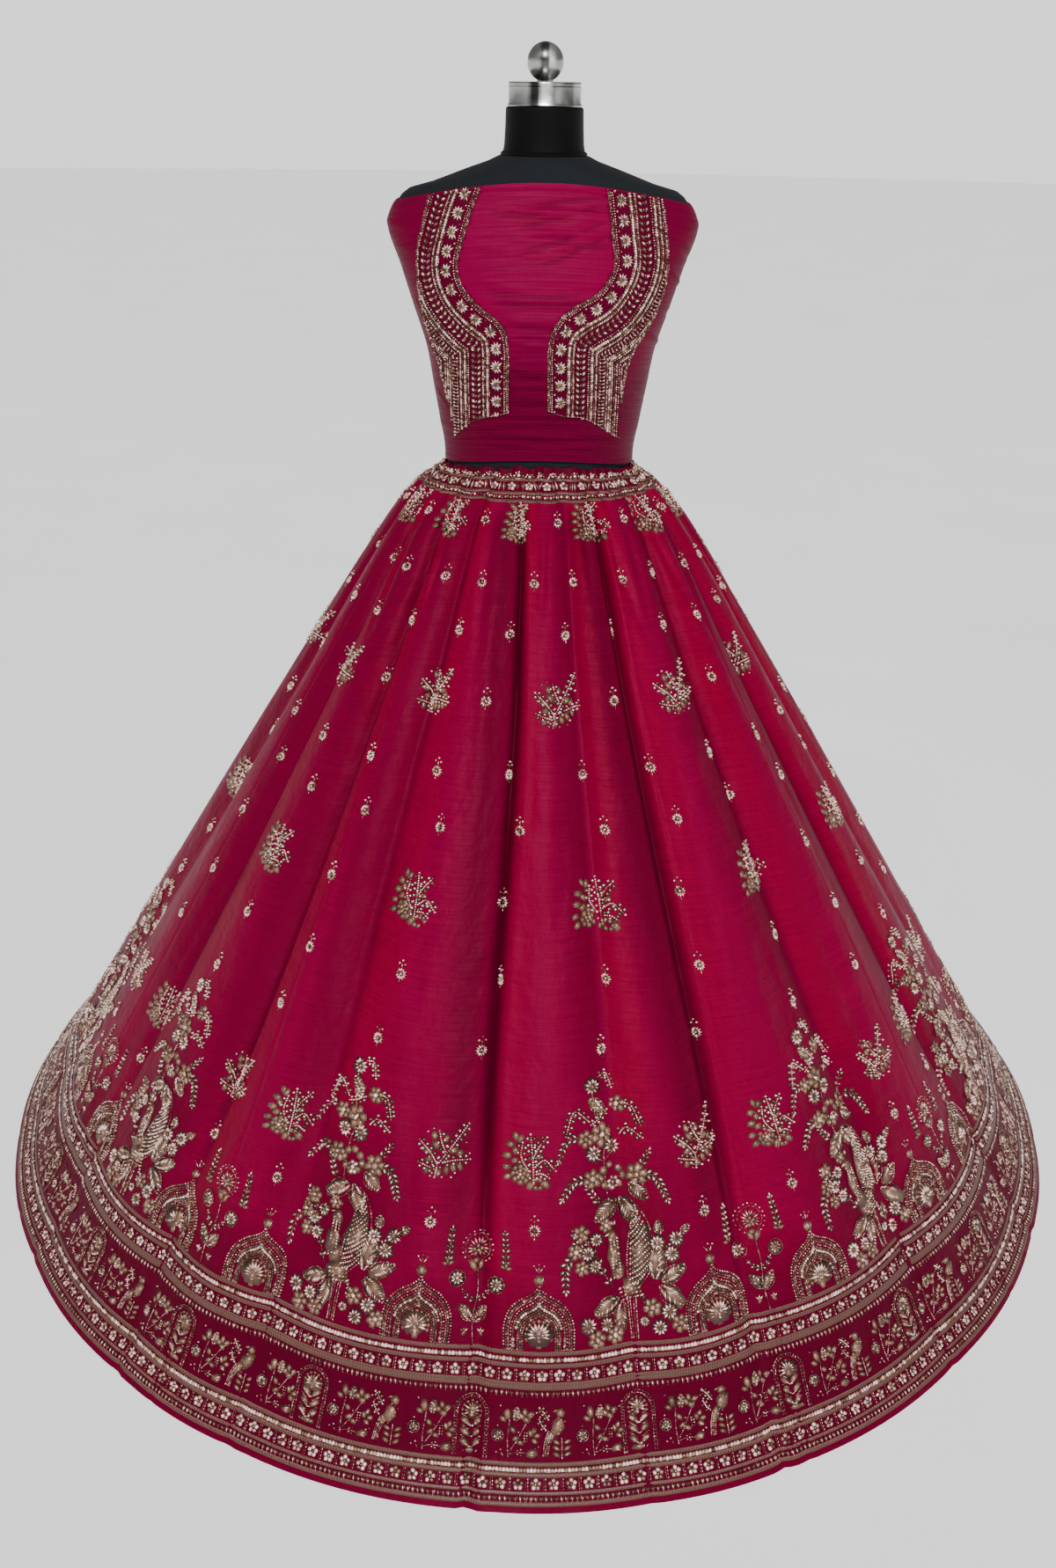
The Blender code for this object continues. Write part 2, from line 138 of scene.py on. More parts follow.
# The blouse's rings: height, half width, depth in front of and behind the axis, squareness, and how far
# the cloth stands off the form.
CHOLI_RINGS = table(
    "height half_width front back power ease",
    (1.045, 0.1285, 0.1, 0.093, 2, 0.002), (1.07, 0.1292, 0.1005, 0.093, 2.05, 0.002),
    (1.1, 0.1345, 0.106, 0.095, 2.2, 0.003), (1.15, 0.1425, 0.122, 0.1, 2.25, 0.007),
    (1.2, 0.151, 0.136, 0.106, 2.3, 0.004), (1.25, 0.167, 0.132, 0.11, 2.35, 0.002),
    (1.3, 0.183, 0.117, 0.108, 2.4, 0.0009), (1.345, 0.1985, 0.098, 0.098, 2.4, 0.0009),
    (1.36, 0.196, 0.092, 0.093, 2.4, 0.0009), (1.375, 0.187, 0.085, 0.087, 2.4, 0.0009),
    (1.39, 0.168, 0.078, 0.079, 2.35, 0.0009), (1.402, 0.14, 0.073, 0.072, 2.3, 0.0009),
)
CHOLI_CLOTH = 0.0016
CHOLI_HEM_FRONT = 1.0670
CHOLI_HEM_SIDE_DROP = 0.018
CHOLI_TOP_FRONT = 1.4000
CHOLI_TOP_SIDE_DROP = 0.0250

# A tension crease in the blouse, from one place to another across it, in millimetres from the centre front
# and up from the floor, with its sag in the middle, its depth and its width.
CHOLI_PULLS = table(
    "from_x from_z to_x to_z sag depth width",
    (-74, 1378, 66, 1366, -3, -1.5, 4.5), (-70, 1368, 20, 1362, -2, -1, 4),
    (-66, 1352, 78, 1345, -2, -1.2, 5), (-20, 1372, 84, 1384, 2, -1, 4), (-88, 1330, 30, 1322, -4, -0.9, 6),
    (10, 1338, 90, 1330, -3, -0.9, 5), (-84, 1296, -6, 1284, -5, -1, 6), (-62, 1266, 70, 1268, -3, -1.6, 5),
    (-50, 1250, 40, 1252, -3, -1.3, 4.5), (-40, 1236, 24, 1233, 2, -1.4, 4.5),
    (-36, 1221, 14, 1219, -2, -1.6, 4.5), (-36, 1204, 12, 1208, 2, -1.2, 4),
    (-38, 1190, 10, 1184, -2, -1.4, 5), (-34, 1172, 8, 1174, -1, -1, 4), (-36, 1156, 9, 1150, 1, -1.3, 5),
    (-30, 1138, 8, 1140, -1, -0.9, 4), (-60, 1100, 60, 1096, 3, -1.3, 6),
    (-100, 1086, -10, 1082, -3, -1, 5), (20, 1088, 112, 1080, 2, -1.1, 5),
    (-190, 1348, -150, 1364, 2, -1.5, 5), (-186, 1322, -156, 1330, -2, -1.3, 5),
    (-176, 1290, -152, 1296, -1, -1, 5), (152, 1366, 190, 1344, 3, -1.7, 5),
    (156, 1340, 188, 1312, 4, -2, 6), (154, 1306, 180, 1276, 3, -1.9, 6),
    (142, 1266, 170, 1236, 3, -1.7, 6), (132, 1232, 158, 1200, 2, -1.5, 6),
    (-160, 1262, -140, 1246, -2, -1.2, 5), (-150, 1214, -132, 1196, -2, -1.2, 5),
    (116, 1160, 140, 1136, 2, -1.3, 5), (-138, 1150, -120, 1128, -2, -1.1, 5),
    (-66, 1344, 82, 1380, -4, -1.1, 3.4), (-76, 1330, 84, 1372, -6, -1.2, 3.6),
    (-52, 1318, 86, 1362, -5, -1, 3.4), (-84, 1312, 60, 1340, -6, -1, 4),
    (-30, 1300, 86, 1346, -4, -1, 3.6), (-90, 1300, 30, 1312, -5, -0.9, 4),
    (-70, 1278, 56, 1276, -4, -1.3, 4), (-46, 1243, 30, 1242, 2, -1.4, 3.4),
    (-38, 1228, 16, 1226, -1, -1.4, 3.2), (-37, 1197, 10, 1196, 1, -1.3, 3.2),
    (-96, 1094, 96, 1090, -2, -1.2, 4),
)
PULL_STRENGTH = 1.5
PULL_RIDGE = 0.9
PULL_DEEPEST = 1.0

FORM_COLUMNS = "height side_drop half_width front back power"
FORM_HIP_RINGS = table(
    FORM_COLUMNS,
    (0.86, 0, 0.06, 0.056, 0.06, 2), (0.866, 0, 0.118, 0.09, 0.1, 2.1),
    (0.885, 0, 0.142, 0.103, 0.116, 2.15), (0.93, 0, 0.142, 0.101, 0.115, 2.15),
    (0.985, 0, 0.133, 0.096, 0.102, 2.15), (1.02, 0, 0.1235, 0.093, 0.089, 2),
)
FORM_SHOULDER_RINGS = table(
    FORM_COLUMNS,
    (1.4025, 0.0205, 0.179, 0.069, 0.068, 2.35), (1.405, 0.0165, 0.17, 0.068, 0.0665, 2.3),
    (1.4095, 0.0135, 0.142, 0.0655, 0.0635, 2.25), (1.418, 0.006, 0.098, 0.06, 0.058, 2.15),
    (1.424, 0.0025, 0.07, 0.057, 0.055, 2.05), (1.428, 0, 0.056, 0.054, 0.052, 2),
)
FORM_SEAMS_DEG = (0.0, -38.0, 38.0, -90.0, 90.0, 142.0, -142.0, 180.0)
NECK_BASE = 1.428
NECK_TOP = 1.483
NECK_ROUND = 0.003
NECK_WELT = 0.0012
NECK_PROFILE = ((0.0535, 0.0), (0.0514, 0.005), (0.0501, 0.012), (0.0490, 0.032), (0.0484, 0.055))
# Painted reflections: the bands of light and dark across the cap, the ball and the stand, in millimetres from
# the middle: where each step starts and ends, then the first band's value before and after it, or how much a
# later one adds.
CAP_REFLECTIONS = ((-22, -16, 0.55, 0.05), (-9, -3, 0.9), (5, 11, -0.68), (33, 37, 0.4))
BALL_REFLECTIONS = ((-8, -4, 0.55, 0.13), (3, 6, 0.65), (10, 15, -0.3))
STAND_REFLECTIONS = ((-9, 9, 0.7, 1.0),)
CAP_RADIUS = 0.0450
CAP_TOP = 1.5105
CAP_ROUND = 0.0016
CAP_LINE_DOWN = 0.0052
CAP_LINE_DEPTH = 0.0006
CAP_LIP = 0.0012
CAP_LIP_HEIGHT = 0.0034
BALL_RADIUS = 0.0223
BALL_CENTRE = 1.5327
BALL_STEM_RADIUS = 0.0098
BALL_COLLAR_RADIUS = 0.0104
BALL_COLLAR_HEIGHT = 0.0012
TREE_OFFSET = 15.6


def number_setting(name, description, default, **kind):
    return FloatProperty(name=name, description=description, default=default, **kind)


def length_setting(name, description, default):
    return number_setting(name, description, default, min=0, unit="LENGTH", subtype="DISTANCE")


def colour_setting(name, description, default):
    return FloatVectorProperty(
        name=name, description=description, default=default, size=3, min=0, max=1, subtype="COLOR"
    )


class ClothSettings(PropertyGroup):
    """Thicknesses of the cloth and the size of the stitches on it."""

    silk_thickness: length_setting("Silk", "Thickness of the skirt and blouse silk", 0.0012)
    hem_thickness: length_setting("Hem", "Thickness of the turned hem", 0.0028)
    lace_height: length_setting("Lace", "Height of the chain lace on the cloth", 0.0006)
    stitch_size: number_setting("Stitch size", "Size of beads and bugles against the real ones", 1.0)


class ColourSettings(PropertyGroup):
    """Colours of the cloth, the metal thread and the form."""

    silk_weft: colour_setting("Silk weft", "Pink of the shot silk's weft", (0.150, 0.0, 0.0225))
    silk_warp: colour_setting("Silk warp", "Red of the shot silk's warp", (0.170, 0.0, 0.0130))
    choli_silk: colour_setting("Blouse silk", "Pink of the blouse piece", (0.148, 0.0, 0.029))
    zari_dull: colour_setting("Dull zari", "Antique thread in the shade", (0.070, 0.030, 0.024))
    zari_gold: colour_setting("Gold zari", "Main pale gold thread", (0.29, 0.155, 0.098))
    zari_rose: colour_setting("Rose bugles", "Rose silver of bugles and sequins", (1.0, 0.72, 0.61))
    lace_thread: colour_setting("Lace thread", "Rose brown of the chain lace", (0.150, 0.078, 0.052))
    jersey: colour_setting("Jersey", "Charcoal jersey on the form", (0.008, 0.0092, 0.0108))
    neck: colour_setting("Neck", "Near-black neck of the form", (0.0008, 0.0009, 0.0011))
    steel: colour_setting("Steel", "Polished steel of the cap and ball", (0.80, 0.79, 0.77))
    floor: colour_setting("Floor", "Pale floor", (0.88, 0.885, 0.90))


class StageSettings(PropertyGroup):
    """The camera's place and the lights."""

    camera_height: length_setting("Camera height", "Height of the camera above the floor", 1.50)
    camera_distance: length_setting("Camera distance", "Distance of the camera from the axis", 1.935)
    camera_pitch: number_setting("Pitch", "How far it looks down", radians(26.2), subtype="ANGLE")
    camera_roll: number_setting("Roll", "How far the camera turns about its view", 0.0152, subtype="ANGLE")
    key_strength: number_setting("Key light", "Strength of the main soft light", 4.7)
    fill_power: number_setting("Fill light", "Power of the soft light beside it", 18.0, subtype="POWER")
    room_light: number_setting("Room light", "Strength of the light from all round", 0.23)


class LehengaSettings(PropertyGroup):
    """Everything that a user would change."""

    cloth: PointerProperty(type=ClothSettings)
    colours: PointerProperty(type=ColourSettings)
    stage: PointerProperty(type=StageSettings)


# Surfaces


def curved(before, start, end, after, share):
    """A value between start and end, on the smooth curve that also follows their neighbours."""
    lead = (end - before) / 2
    tail = (after - start) / 2
    square, cube = share**2, share**3
    return (
        (2 * cube - 3 * square + 1) * start
        + (cube - 2 * square + share) * lead
        + (3 * square - 2 * cube) * end
        + (cube - square) * tail
    )


def rows_at(rings, place):
    """The rows of a table at places that are whole on its rows and run between them."""
    table = np.array(rings)
    last = len(table) - 1
    low = np.clip(place.astype(int), 0, last - 1)
    near = [table[np.clip(low + step, 0, last)] for step in (-1, 0, 1, 2)]
    return curved(*near, (place - low)[:, None]).T


def ramp(distance, reach):
    """From 0 to 1 while a distance grows from nothing to its reach."""
    return np.clip(distance / reach, 0, 1)


def skirt_slant():
    """Places down the skirt, and how far up the cloth each one lies."""
    place = np.linspace(0, SKIRT_END, 1601)
    height, _, half_width, half_depth, _ = rows_at(SKIRT_RINGS, place)
    radius = (half_width + half_depth) / 2
    steps = np.hypot(np.diff(radius), np.diff(height))
    up = np.concatenate([np.cumsum(steps[::-1])[::-1], [0]])
    return place[::-1], up[::-1], radius[::-1]


SLANT_PLACES, SLANT_UPS, SLANT_RADII = skirt_slant()
SKIRT_UP = float(SLANT_UPS[-1])
WAIST_UP = float(np.interp(-BAND_END, -SLANT_PLACES, SLANT_UPS))
HEM_UP = float(np.interp(-HEM_START, -SLANT_PLACES, SLANT_UPS))


def radius_at(up):
    """The skirt's mean radius a distance up the cloth."""
    return np.interp(up, SLANT_UPS, SLANT_RADII)


def wrapped(angle):
    """An angle between -180 and 180."""
    return (angle + 180) % 360 - 180


def place_at(up):
    """The place down the skirt's rings of a distance up the cloth."""
    return np.interp(up, SLANT_UPS, SLANT_PLACES)


def fold_lines(place):
    """The azimuth of every fold's line at places down the skirt."""
    top, low, _, _ = np.array(FOLDS).T
    return top + (low - top) * np.minimum(place / FOLD_SETTLES_AT, 1.0)[:, None]


def fold_offset(azimuth, place):
    """How far the folds move the cloth in or out, as if each had its full depth."""
    _, _, depth, soft = np.array(FOLDS).T
    lines = fold_lines(place)
    around = (azimuth - lines[:, 0]) % 360 + lines[:, 0]
    index = (lines <= around[:, None] + 1e-9).sum(axis=1) - 1
    after = (index + 1) % len(FOLDS)
    every = np.arange(len(index))
    width = (lines[every, after] - lines[every, index]) % 360
    share = (around - lines[every, index]) / width
    deep = depth[index] * (1 - share) + depth[after] * share
    round_by = soft[index] * (1 - share) + soft[after] * share
    ridge = np.sqrt((4 * share * (1 - share)) ** 2 + round_by**2) - 0.5 * round_by
    return deep * (ridge - FOLD_INSIDE)


def fold_grooves(azimuth, up):
    """How deep the crisp line of each fold is, from 0 to 1, the ridge beside it and the side that gets
    painted shade.
    """
    crisp = np.clip((0.36 - np.array(FOLDS)[:, 3]) / 0.3, 0.12, 1.0)
    wander = 0.35 * np.sin(up[:, None] * 8.0 + np.arange(len(FOLDS)) * 1.9)
    lines = fold_lines(place_at(up)) + wander
    away = np.radians(wrapped(azimuth[:, None] - lines)) * radius_at(up)[:, None]
    width = (GROOVE_WIDTH * (0.55 + 0.45 * ramp(WAIST_UP - up, 0.5)))[:, None]
    fade = ramp(WAIST_UP - up, 0.03) * (0.35 + 0.65 * ramp(up - 0.1, 0.35))
    return [
        (crisp * np.exp(-(((away - place * width) / (spread * width)) ** 2))).sum(axis=1) * fade
        for place, spread in GROOVE_PARTS
    ]


def skirt_creases(azimuth, up):
    """How far the small creases move the skirt's cloth out."""
    moved = np.zeros_like(azimuth)
    for turn in CREASE_TURNS:
        around = turn.way * wrapped(azimuth - turn.turn_deg)
        for crease in SKIRT_CREASES:
            moved += turn.depth * one_crease(crease, around, up)
    return moved * MM


def one_crease(crease, azimuth, up):
    """A crease's height, in millimetres: a soft trough with low ridges beside it, fading at both ends."""
    reach_across = (crease.to_deg - crease.from_deg) * radius_at((crease.from_up + crease.to_up) / 2)
    upright = abs(crease.to_up - crease.from_up) > radians(abs(reach_across))
    if upright:
        share = (up - crease.from_up) / (crease.to_up - crease.from_up)
        line = crease.from_deg + (crease.to_deg - crease.from_deg) * share
        away = np.radians(wrapped(azimuth - line)) * radius_at(up)
    else:
        share = (azimuth - crease.from_deg) / (crease.to_deg - crease.from_deg)
        away = up - (crease.from_up + (crease.to_up - crease.from_up) * share)
    share = np.clip(share, 0, 1)
    fade = np.sin(pi * share) ** 0.8
    across = (away / (crease.width * MM)) ** 2
    return crease.depth * fade * np.exp(-across) * (1 - 0.8 * across)


def band_tucks(azimuth, up):
    """The gathers of the waistband, which fade into the skirt below it."""
    moved = np.zeros_like(azimuth)
    fade = ramp(up - WAIST_UP + 0.045, 0.05) ** 1.5
    for index in range(BAND_TUCKS):
        middle = index * 360 / BAND_TUCKS + 2.6 * sin(index * 2.4)
        deep = 0.55 + 0.45 * sin(index * 1.7 + 1)
        away = np.radians(wrapped(azimuth - middle)) * radius_at(up) / BAND_TUCK_WIDTH
        moved -= deep * np.exp(-(away**2))
    return moved * fade * BAND_TUCK_DEPTH


def rim_ripple(azimuth, up):
    """How far the gathers lift and drop the waistband's upper edge."""
    turn = np.radians(azimuth)
    wave = np.sin(19 * turn + 1.3 * np.sin(4 * turn)) + 0.7 * np.sin(31 * turn + 2.0)
    return 1.5 * MM * wave * ramp(up - SKIRT_UP + 0.022, 0.022)


def seam_groove(azimuth, up):
    """The shallow line where two panels are sewn together."""
    beside = (azimuth - FIRST_SEAM_DEG + KALI_DEG / 2) % KALI_DEG - KALI_DEG / 2
    away = np.radians(beside) * radius_at(up) / (2.2 * MM)
    return -0.9 * MM * np.exp(-(away**2)) * ramp(WAIST_UP - up, 0.02)


def skirt_surface(azimuth, up):
    """Points on the outside of the skirt, its waistband and its hem."""
    azimuth, up = np.broadcast_arrays(np.asarray(azimuth, float), np.asarray(up, float))
    shape = azimuth.shape
    azimuth, up = azimuth.ravel(), up.ravel()
    place = place_at(up)
    height, drop, half_width, half_depth, fold = rows_at(SKIRT_RINGS, place)
    side, front = np.sin(np.radians(azimuth)), np.cos(np.radians(azimuth))
    moved = fold * fold_offset(azimuth, place)
    deep, high, _ = fold_grooves(azimuth, up)
    raised = skirt_creases(azimuth, up) + band_tucks(azimuth, up) + seam_groove(azimuth, up)
    raised += GROOVE_DEPTH * (0.4 * high - deep)
    lean = ramp(WAIST_UP - up, 0.03)
    moved = moved + raised * (1 - 0.16 * lean)
    height = height + raised * 0.55 * lean * ramp(up, 0.08) + rim_ripple(azimuth, up)
    points = ((half_width + moved) * side, -(half_depth + moved) * front, height - drop * side**2)
    return np.stack(points, axis=-1).reshape(*shape, 3)


def section(azimuth, height, half_width, front, back, power):
    """Points on a rounded section that is wide, shallow and slightly square."""
    side, ahead = np.sin(np.radians(azimuth)), np.cos(np.radians(azimuth))
    depth = np.where(ahead > 0, front, back)
    x = np.sign(side) * np.abs(side) ** (2 / power) * half_width
    y = -np.sign(ahead) * np.abs(ahead) ** (2 / power) * depth
    return np.stack(np.broadcast_arrays(x, y, height), axis=-1)


def choli_height(azimuth, share):
    sideways = np.sin(np.radians(azimuth)) ** 2
    low = CHOLI_HEM_FRONT - CHOLI_HEM_SIDE_DROP * sideways
    high = CHOLI_TOP_FRONT - CHOLI_TOP_SIDE_DROP * sideways
    return low + (high - low) * share


def pulls(x, z, ahead):
    """How far the tension creases move the blouse's cloth out, in front and, turned round, behind."""
    x = np.where(ahead, x, -x) / MM
    z = z / MM
    moved = np.zeros_like(x)
    for index, pull in enumerate(CHOLI_PULLS):
        share = np.clip((x - pull.from_x) / (pull.to_x - pull.from_x), 0, 1)
        wave = np.sin(pi * share)
        line = pull.from_z + (pull.to_z - pull.from_z) * share + pull.sag * wave
        across = ((z - line) / pull.width) ** 2
        way = 1 if index % 2 else -PULL_RIDGE
        moved += way * pull.depth * wave**0.7 * np.exp(-across) * (1 - 0.9 * across)
    return np.maximum(moved * PULL_STRENGTH, -PULL_DEEPEST) * MM


def choli_rows(height):
    """The blouse's measures at given heights."""
    place = np.interp(height.ravel(), [ring.height for ring in CHOLI_RINGS], np.arange(len(CHOLI_RINGS)))
    return rows_at(CHOLI_RINGS, place).reshape(6, *height.shape)


def choli_at(azimuth, height, inset_share=0.0):
    """Points on the blouse, or with an inset share of 1 on the form under it."""
    azimuth, height = np.asarray(azimuth, float), np.asarray(height, float)
    _, half_width, front, back, power, ease = choli_rows(height)
    inset = inset_share * (ease + CHOLI_CLOTH)
    points = section(azimuth, height, half_width - inset, front - inset, back - inset, power)
    if inset_share:
        return points
    flat = np.hypot(points[..., 0], points[..., 1])[..., None]
    raised = pulls(points[..., 0], height, points[..., 1] < 0)[..., None]
    points[..., :2] *= 1 + raised / flat
    return points


def choli_surface(azimuth, share):
    """Points on the blouse, from 0 at its lower edge to 1 at its upper edge."""
    azimuth, share = np.broadcast_arrays(azimuth, share)
    return choli_at(azimuth, choli_height(azimuth, share))


def choli_face(x, height):
    """Points on the blouse's front, by their distance to the right of the middle and their height."""
    x, height = np.broadcast_arrays(np.asarray(x, float), np.asarray(height, float))
    _, half_width, _, _, power, _ = choli_rows(height)
    side = np.clip(np.abs(x) / half_width, 0, 1) ** (power / 2)
    return choli_at(np.degrees(np.arcsin(side)) * np.sign(x), height)


# Cloth shells


def placed_object(name, data):
    made = bpy.data.objects.new(name, data)
    bpy.context.scene.collection.objects.link(made)
    return made


def as_piece(name, mesh, finish, replaces=()):
    """Makes a mesh an object of the part, with its finish and what it stands for."""
    mesh.shade_smooth()
    mesh.materials.append(finish)
    piece = placed_object(name, mesh)
    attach(piece, "root")
    if replaces:
        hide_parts(*replaces)
    return piece


def new_piece(name, made, finish, replaces=()):
    """Makes a bmesh an object of the part."""
    mesh = bpy.data.meshes.new(name)
    made.to_mesh(mesh)
    made.free()
    return as_piece(name, mesh, finish, replaces)


def grid_shares(columns, rows, crowd=0.0):
    """A grid's shares across and along, with columns that may crowd towards both sides."""
    made = bmesh.new()
    bmesh.ops.create_grid(made, x_segments=columns, y_segments=rows, size=0.5, calc_uvs=True)
    shares = np.array([vertex.co[:2] for vertex in made.verts]) + 0.5
    across = shares[:, 0] - crowd * np.sin(2 * pi * shares[:, 0]) / (2 * pi)
    return made, across, shares[:, 1]


def face_outwards(made):
    """Turns a sheet's faces over if most of them face the axis."""
    made.normal_update()
    total = 0.0
    for face in made.faces:
        middle = face.calc_center_median()
        total += face.normal.dot(Vector((middle.x, middle.y, 0)))
    if total < 0:
        bmesh.ops.reverse_faces(made, faces=made.faces)


def lay_cloth(made, points, flat):
    """Moves a grid's vertices to their points and gives each corner its place on the flat cloth."""
    weave = made.loops.layers.uv.verify()
    for vertex, point in zip(made.verts, points):
        vertex.co = point
    made.verts.index_update()
    for face in made.faces:
        for corner in face.loops:
            corner[weave].uv = flat[corner.vert.index]
    for edge in made.edges:
        edge.smooth = not edge.is_boundary
    face_outwards(made)


def thicken(piece, thickness):
    """Gives a sheet its thickness, to the inside."""
    wall = piece.modifiers.new("cloth", "SOLIDIFY")
    wall.thickness = thickness
    wall.offset = -1
    wall.use_even_offset = True
    wall.use_rim = True


def mark(piece, name, values):
    """Keeps a value for each point of a piece, for its material to read."""
    kept = piece.data.attributes.new(name, "FLOAT", "POINT")
    kept.data.foreach_set("value", np.clip(values, 0, 1).astype(np.float32))


# Painted shade on the skirt's cloth: on the borders and just above them, round a tree and on the waistband,
# where it is partly the dark ground between the stitches, and along the hem, in the line of a fold and on its
# far side.
BORDER_SHADE = 0.88
ABOVE_SHADE = 0.6
TREE_SHADE = 0.75
WAIST_SHADE = 0.85
HEM_SHADE = 0.6
FOLD_SHADE = 0.8
LEE_SHADE = 0.62


def skirt_shade(azimuth, up):
    """Painted shade in and beside the folds, along the hem, and under stitching, where it is partly dark
    ground.
    """
    deep, _, lee = fold_grooves(azimuth, up)
    border = BORDER_SHADE * ramp(0.19 - up, 0.006) * ramp(up - 0.006, 0.003)
    beside = wrapped((azimuth - FIRST_SEAM_DEG - TREE_OFFSET) * 360 / KALI_DEG) * KALI_DEG / 360
    across = np.radians(beside) * radius_at(up) / 0.085
    tree = TREE_SHADE * np.exp(-(across**2) - ((up - 0.29) / 0.13) ** 2)
    near_border = ABOVE_SHADE * ramp(0.30 - up, 0.08)
    # Painted shade under the embroidery and on the waistband, partly the dark ground between the stitches.
    embroidered_shade = np.maximum(border, np.maximum(tree, near_border) * (1 - border))
    embroidered_shade = np.maximum(embroidered_shade, WAIST_SHADE * (up > WAIST_UP))
    # Painted shade along the hem.
    hem = HEM_SHADE * ramp(0.012 - up, 0.004)
    # Painted shade in the line of each fold and on its far side.
    folded = np.clip(FOLD_SHADE * np.clip(deep, 0, 1) + LEE_SHADE * np.clip(lee, 0, 1), 0, 1)
    return np.maximum(folded, np.maximum(embroidered_shade, hem))


def mark_shot_sheen_and_shade(piece, azimuth, up):
    """Keeps how steeply each point lies on the side of a fold, for the two colours of the shot silk, the red
    warp strongest on the lit side of each fold as a painted sheen, and keeps the painted shade, darker on the
    other side.
    """
    step = 0.4
    place = place_at(up)
    fold = rows_at(SKIRT_RINGS, place)[4]
    rise = fold_offset(azimuth + step, place) - fold_offset(azimuth - step, place)
    slope = fold * rise / (np.radians(2 * step) * radius_at(up))
    # Red warp on the folds' sides, strongest on the lit side: partly the shot silk, partly a painted sheen.
    mark(piece, "shot", np.clip(slope * 3.2, 0, 1) + np.clip(-slope * 0.8, 0, 1))
    # Painted shade on the side of each fold that turns from the light.
    shaded = 0.42 * np.clip(-slope * 2.4, 0, 1)
    mark(piece, "shade", np.maximum(skirt_shade(azimuth, up), shaded))


def skirt_sheet(name, seam_deg, width_deg, low_up, high_up, size, replaces, thickness, crowd=0.0):
    """A sheet of the skirt between two azimuths and two distances up the cloth."""
    made, across, along = grid_shares(*size, crowd)
    up = low_up + (high_up - low_up) * along
    azimuth = seam_deg + width_deg * across
    middle = seam_deg + width_deg / 2
    flat = np.stack([np.radians(azimuth - middle) * radius_at(up), up], axis=1)
    lay_cloth(made, skirt_surface(azimuth, up), flat)
    piece = new_piece(name, made, skirt_silk(), replaces)
    mark_shot_sheen_and_shade(piece, azimuth, up)
    thicken(piece, thickness)
    return piece


# Finishes


class Finish:
    """A material being wired: nodes are added by kind, with their settings and what feeds them."""

    def __init__(self, name, roughness, metallic=0.0):
        self.material = bpy.data.materials.new(name)
        self.material.use_nodes = True
        self.tree = self.material.node_tree
        self.shader = self.tree.nodes["Principled BSDF"]
        self.level(Roughness=roughness, Metallic=metallic)

    def level(self, **levels):
        """Sets the shader's sockets, or feeds them from other nodes."""
        for socket, value in levels.items():
            self.feed(self.shader.inputs[socket.replace("_", " ")], value)

    def node(self, kind, inputs=(), **settings):
        made = self.tree.nodes.new(kind)
        for key, value in settings.items():
            setattr(made, key, value)
        for socket, value in dict(inputs).items():
            self.feed(made.inputs[socket], value)
        return made

    def feed(self, socket, value):
        if isinstance(value, bpy.types.NodeSocket):
            self.tree.links.new(value, socket)
        else:
            socket.default_value = value

    def noise(self, place, scale, detail=3.0, stretch=(1, 1, 1)):
        moved = self.node("ShaderNodeMapping", {"Vector": place, "Scale": stretch}).outputs[0]
        inputs = {"Vector": moved, "Scale": scale, "Detail": detail}
        return self.node("ShaderNodeTexNoise", inputs).outputs["Fac"]

    def sums(self, operation, first, second=0.5, third=0.5):
        inputs = {0: first, 1: second, 2: third}
        return self.node("ShaderNodeMath", inputs, operation=operation).outputs[0]

    def between(self, value, low, high, to_low=0.0, to_high=1.0):
        inputs = {"Value": value, 1: low, 2: high, 3: to_low, 4: to_high}
        return self.node("ShaderNodeMapRange", inputs).outputs[0]

    def mix(self, share, first, second, blend="MIX"):
        inputs = {"Factor": share, 6: first, 7: second}
        return self.node("ShaderNodeMix", inputs, data_type="RGBA", blend_type=blend).outputs[2]

    def shaded(self, colour, shade):
        return self.mix(1.0, colour, shade, "MULTIPLY")

    def coordinates(self, kind="Object"):
        return self.node("ShaderNodeTexCoord").outputs[kind]

    def attribute(self, name):
        return self.node("ShaderNodeAttribute", attribute_name=name).outputs["Fac"]

    def bump(self, height, distance, strength=1.0):
        """Raises the surface, on top of what is raised already."""
        inputs = {"Height": height, "Distance": distance, "Strength": strength}
        made = self.node("ShaderNodeBump", inputs)
        raised = self.shader.inputs["Normal"]
        for link in raised.links:
            self.tree.links.new(link.from_socket, made.inputs["Normal"])
        self.tree.links.new(made.outputs[0], raised)


def rgba(colour, scale=1.0):
    return (*(channel * scale for channel in colour), 1.0)


def slubs(finish, weave):
    """Thick and thin weft threads of raw silk, and the fine weave between them."""
    thick = finish.noise(weave, 1.0, 2.0, (14, 520, 1))
    fine = finish.noise(weave, 1.0, 2.0, (110, 1500, 1))
    warp = finish.noise(weave, 1.0, 1.0, (1300, 40, 1))
    both = finish.sums("MULTIPLY_ADD", thick, 0.6, finish.sums("MULTIPLY", fine, 0.4))
    return finish.sums("MULTIPLY_ADD", both, 0.8, finish.sums("MULTIPLY", warp, 0.2))


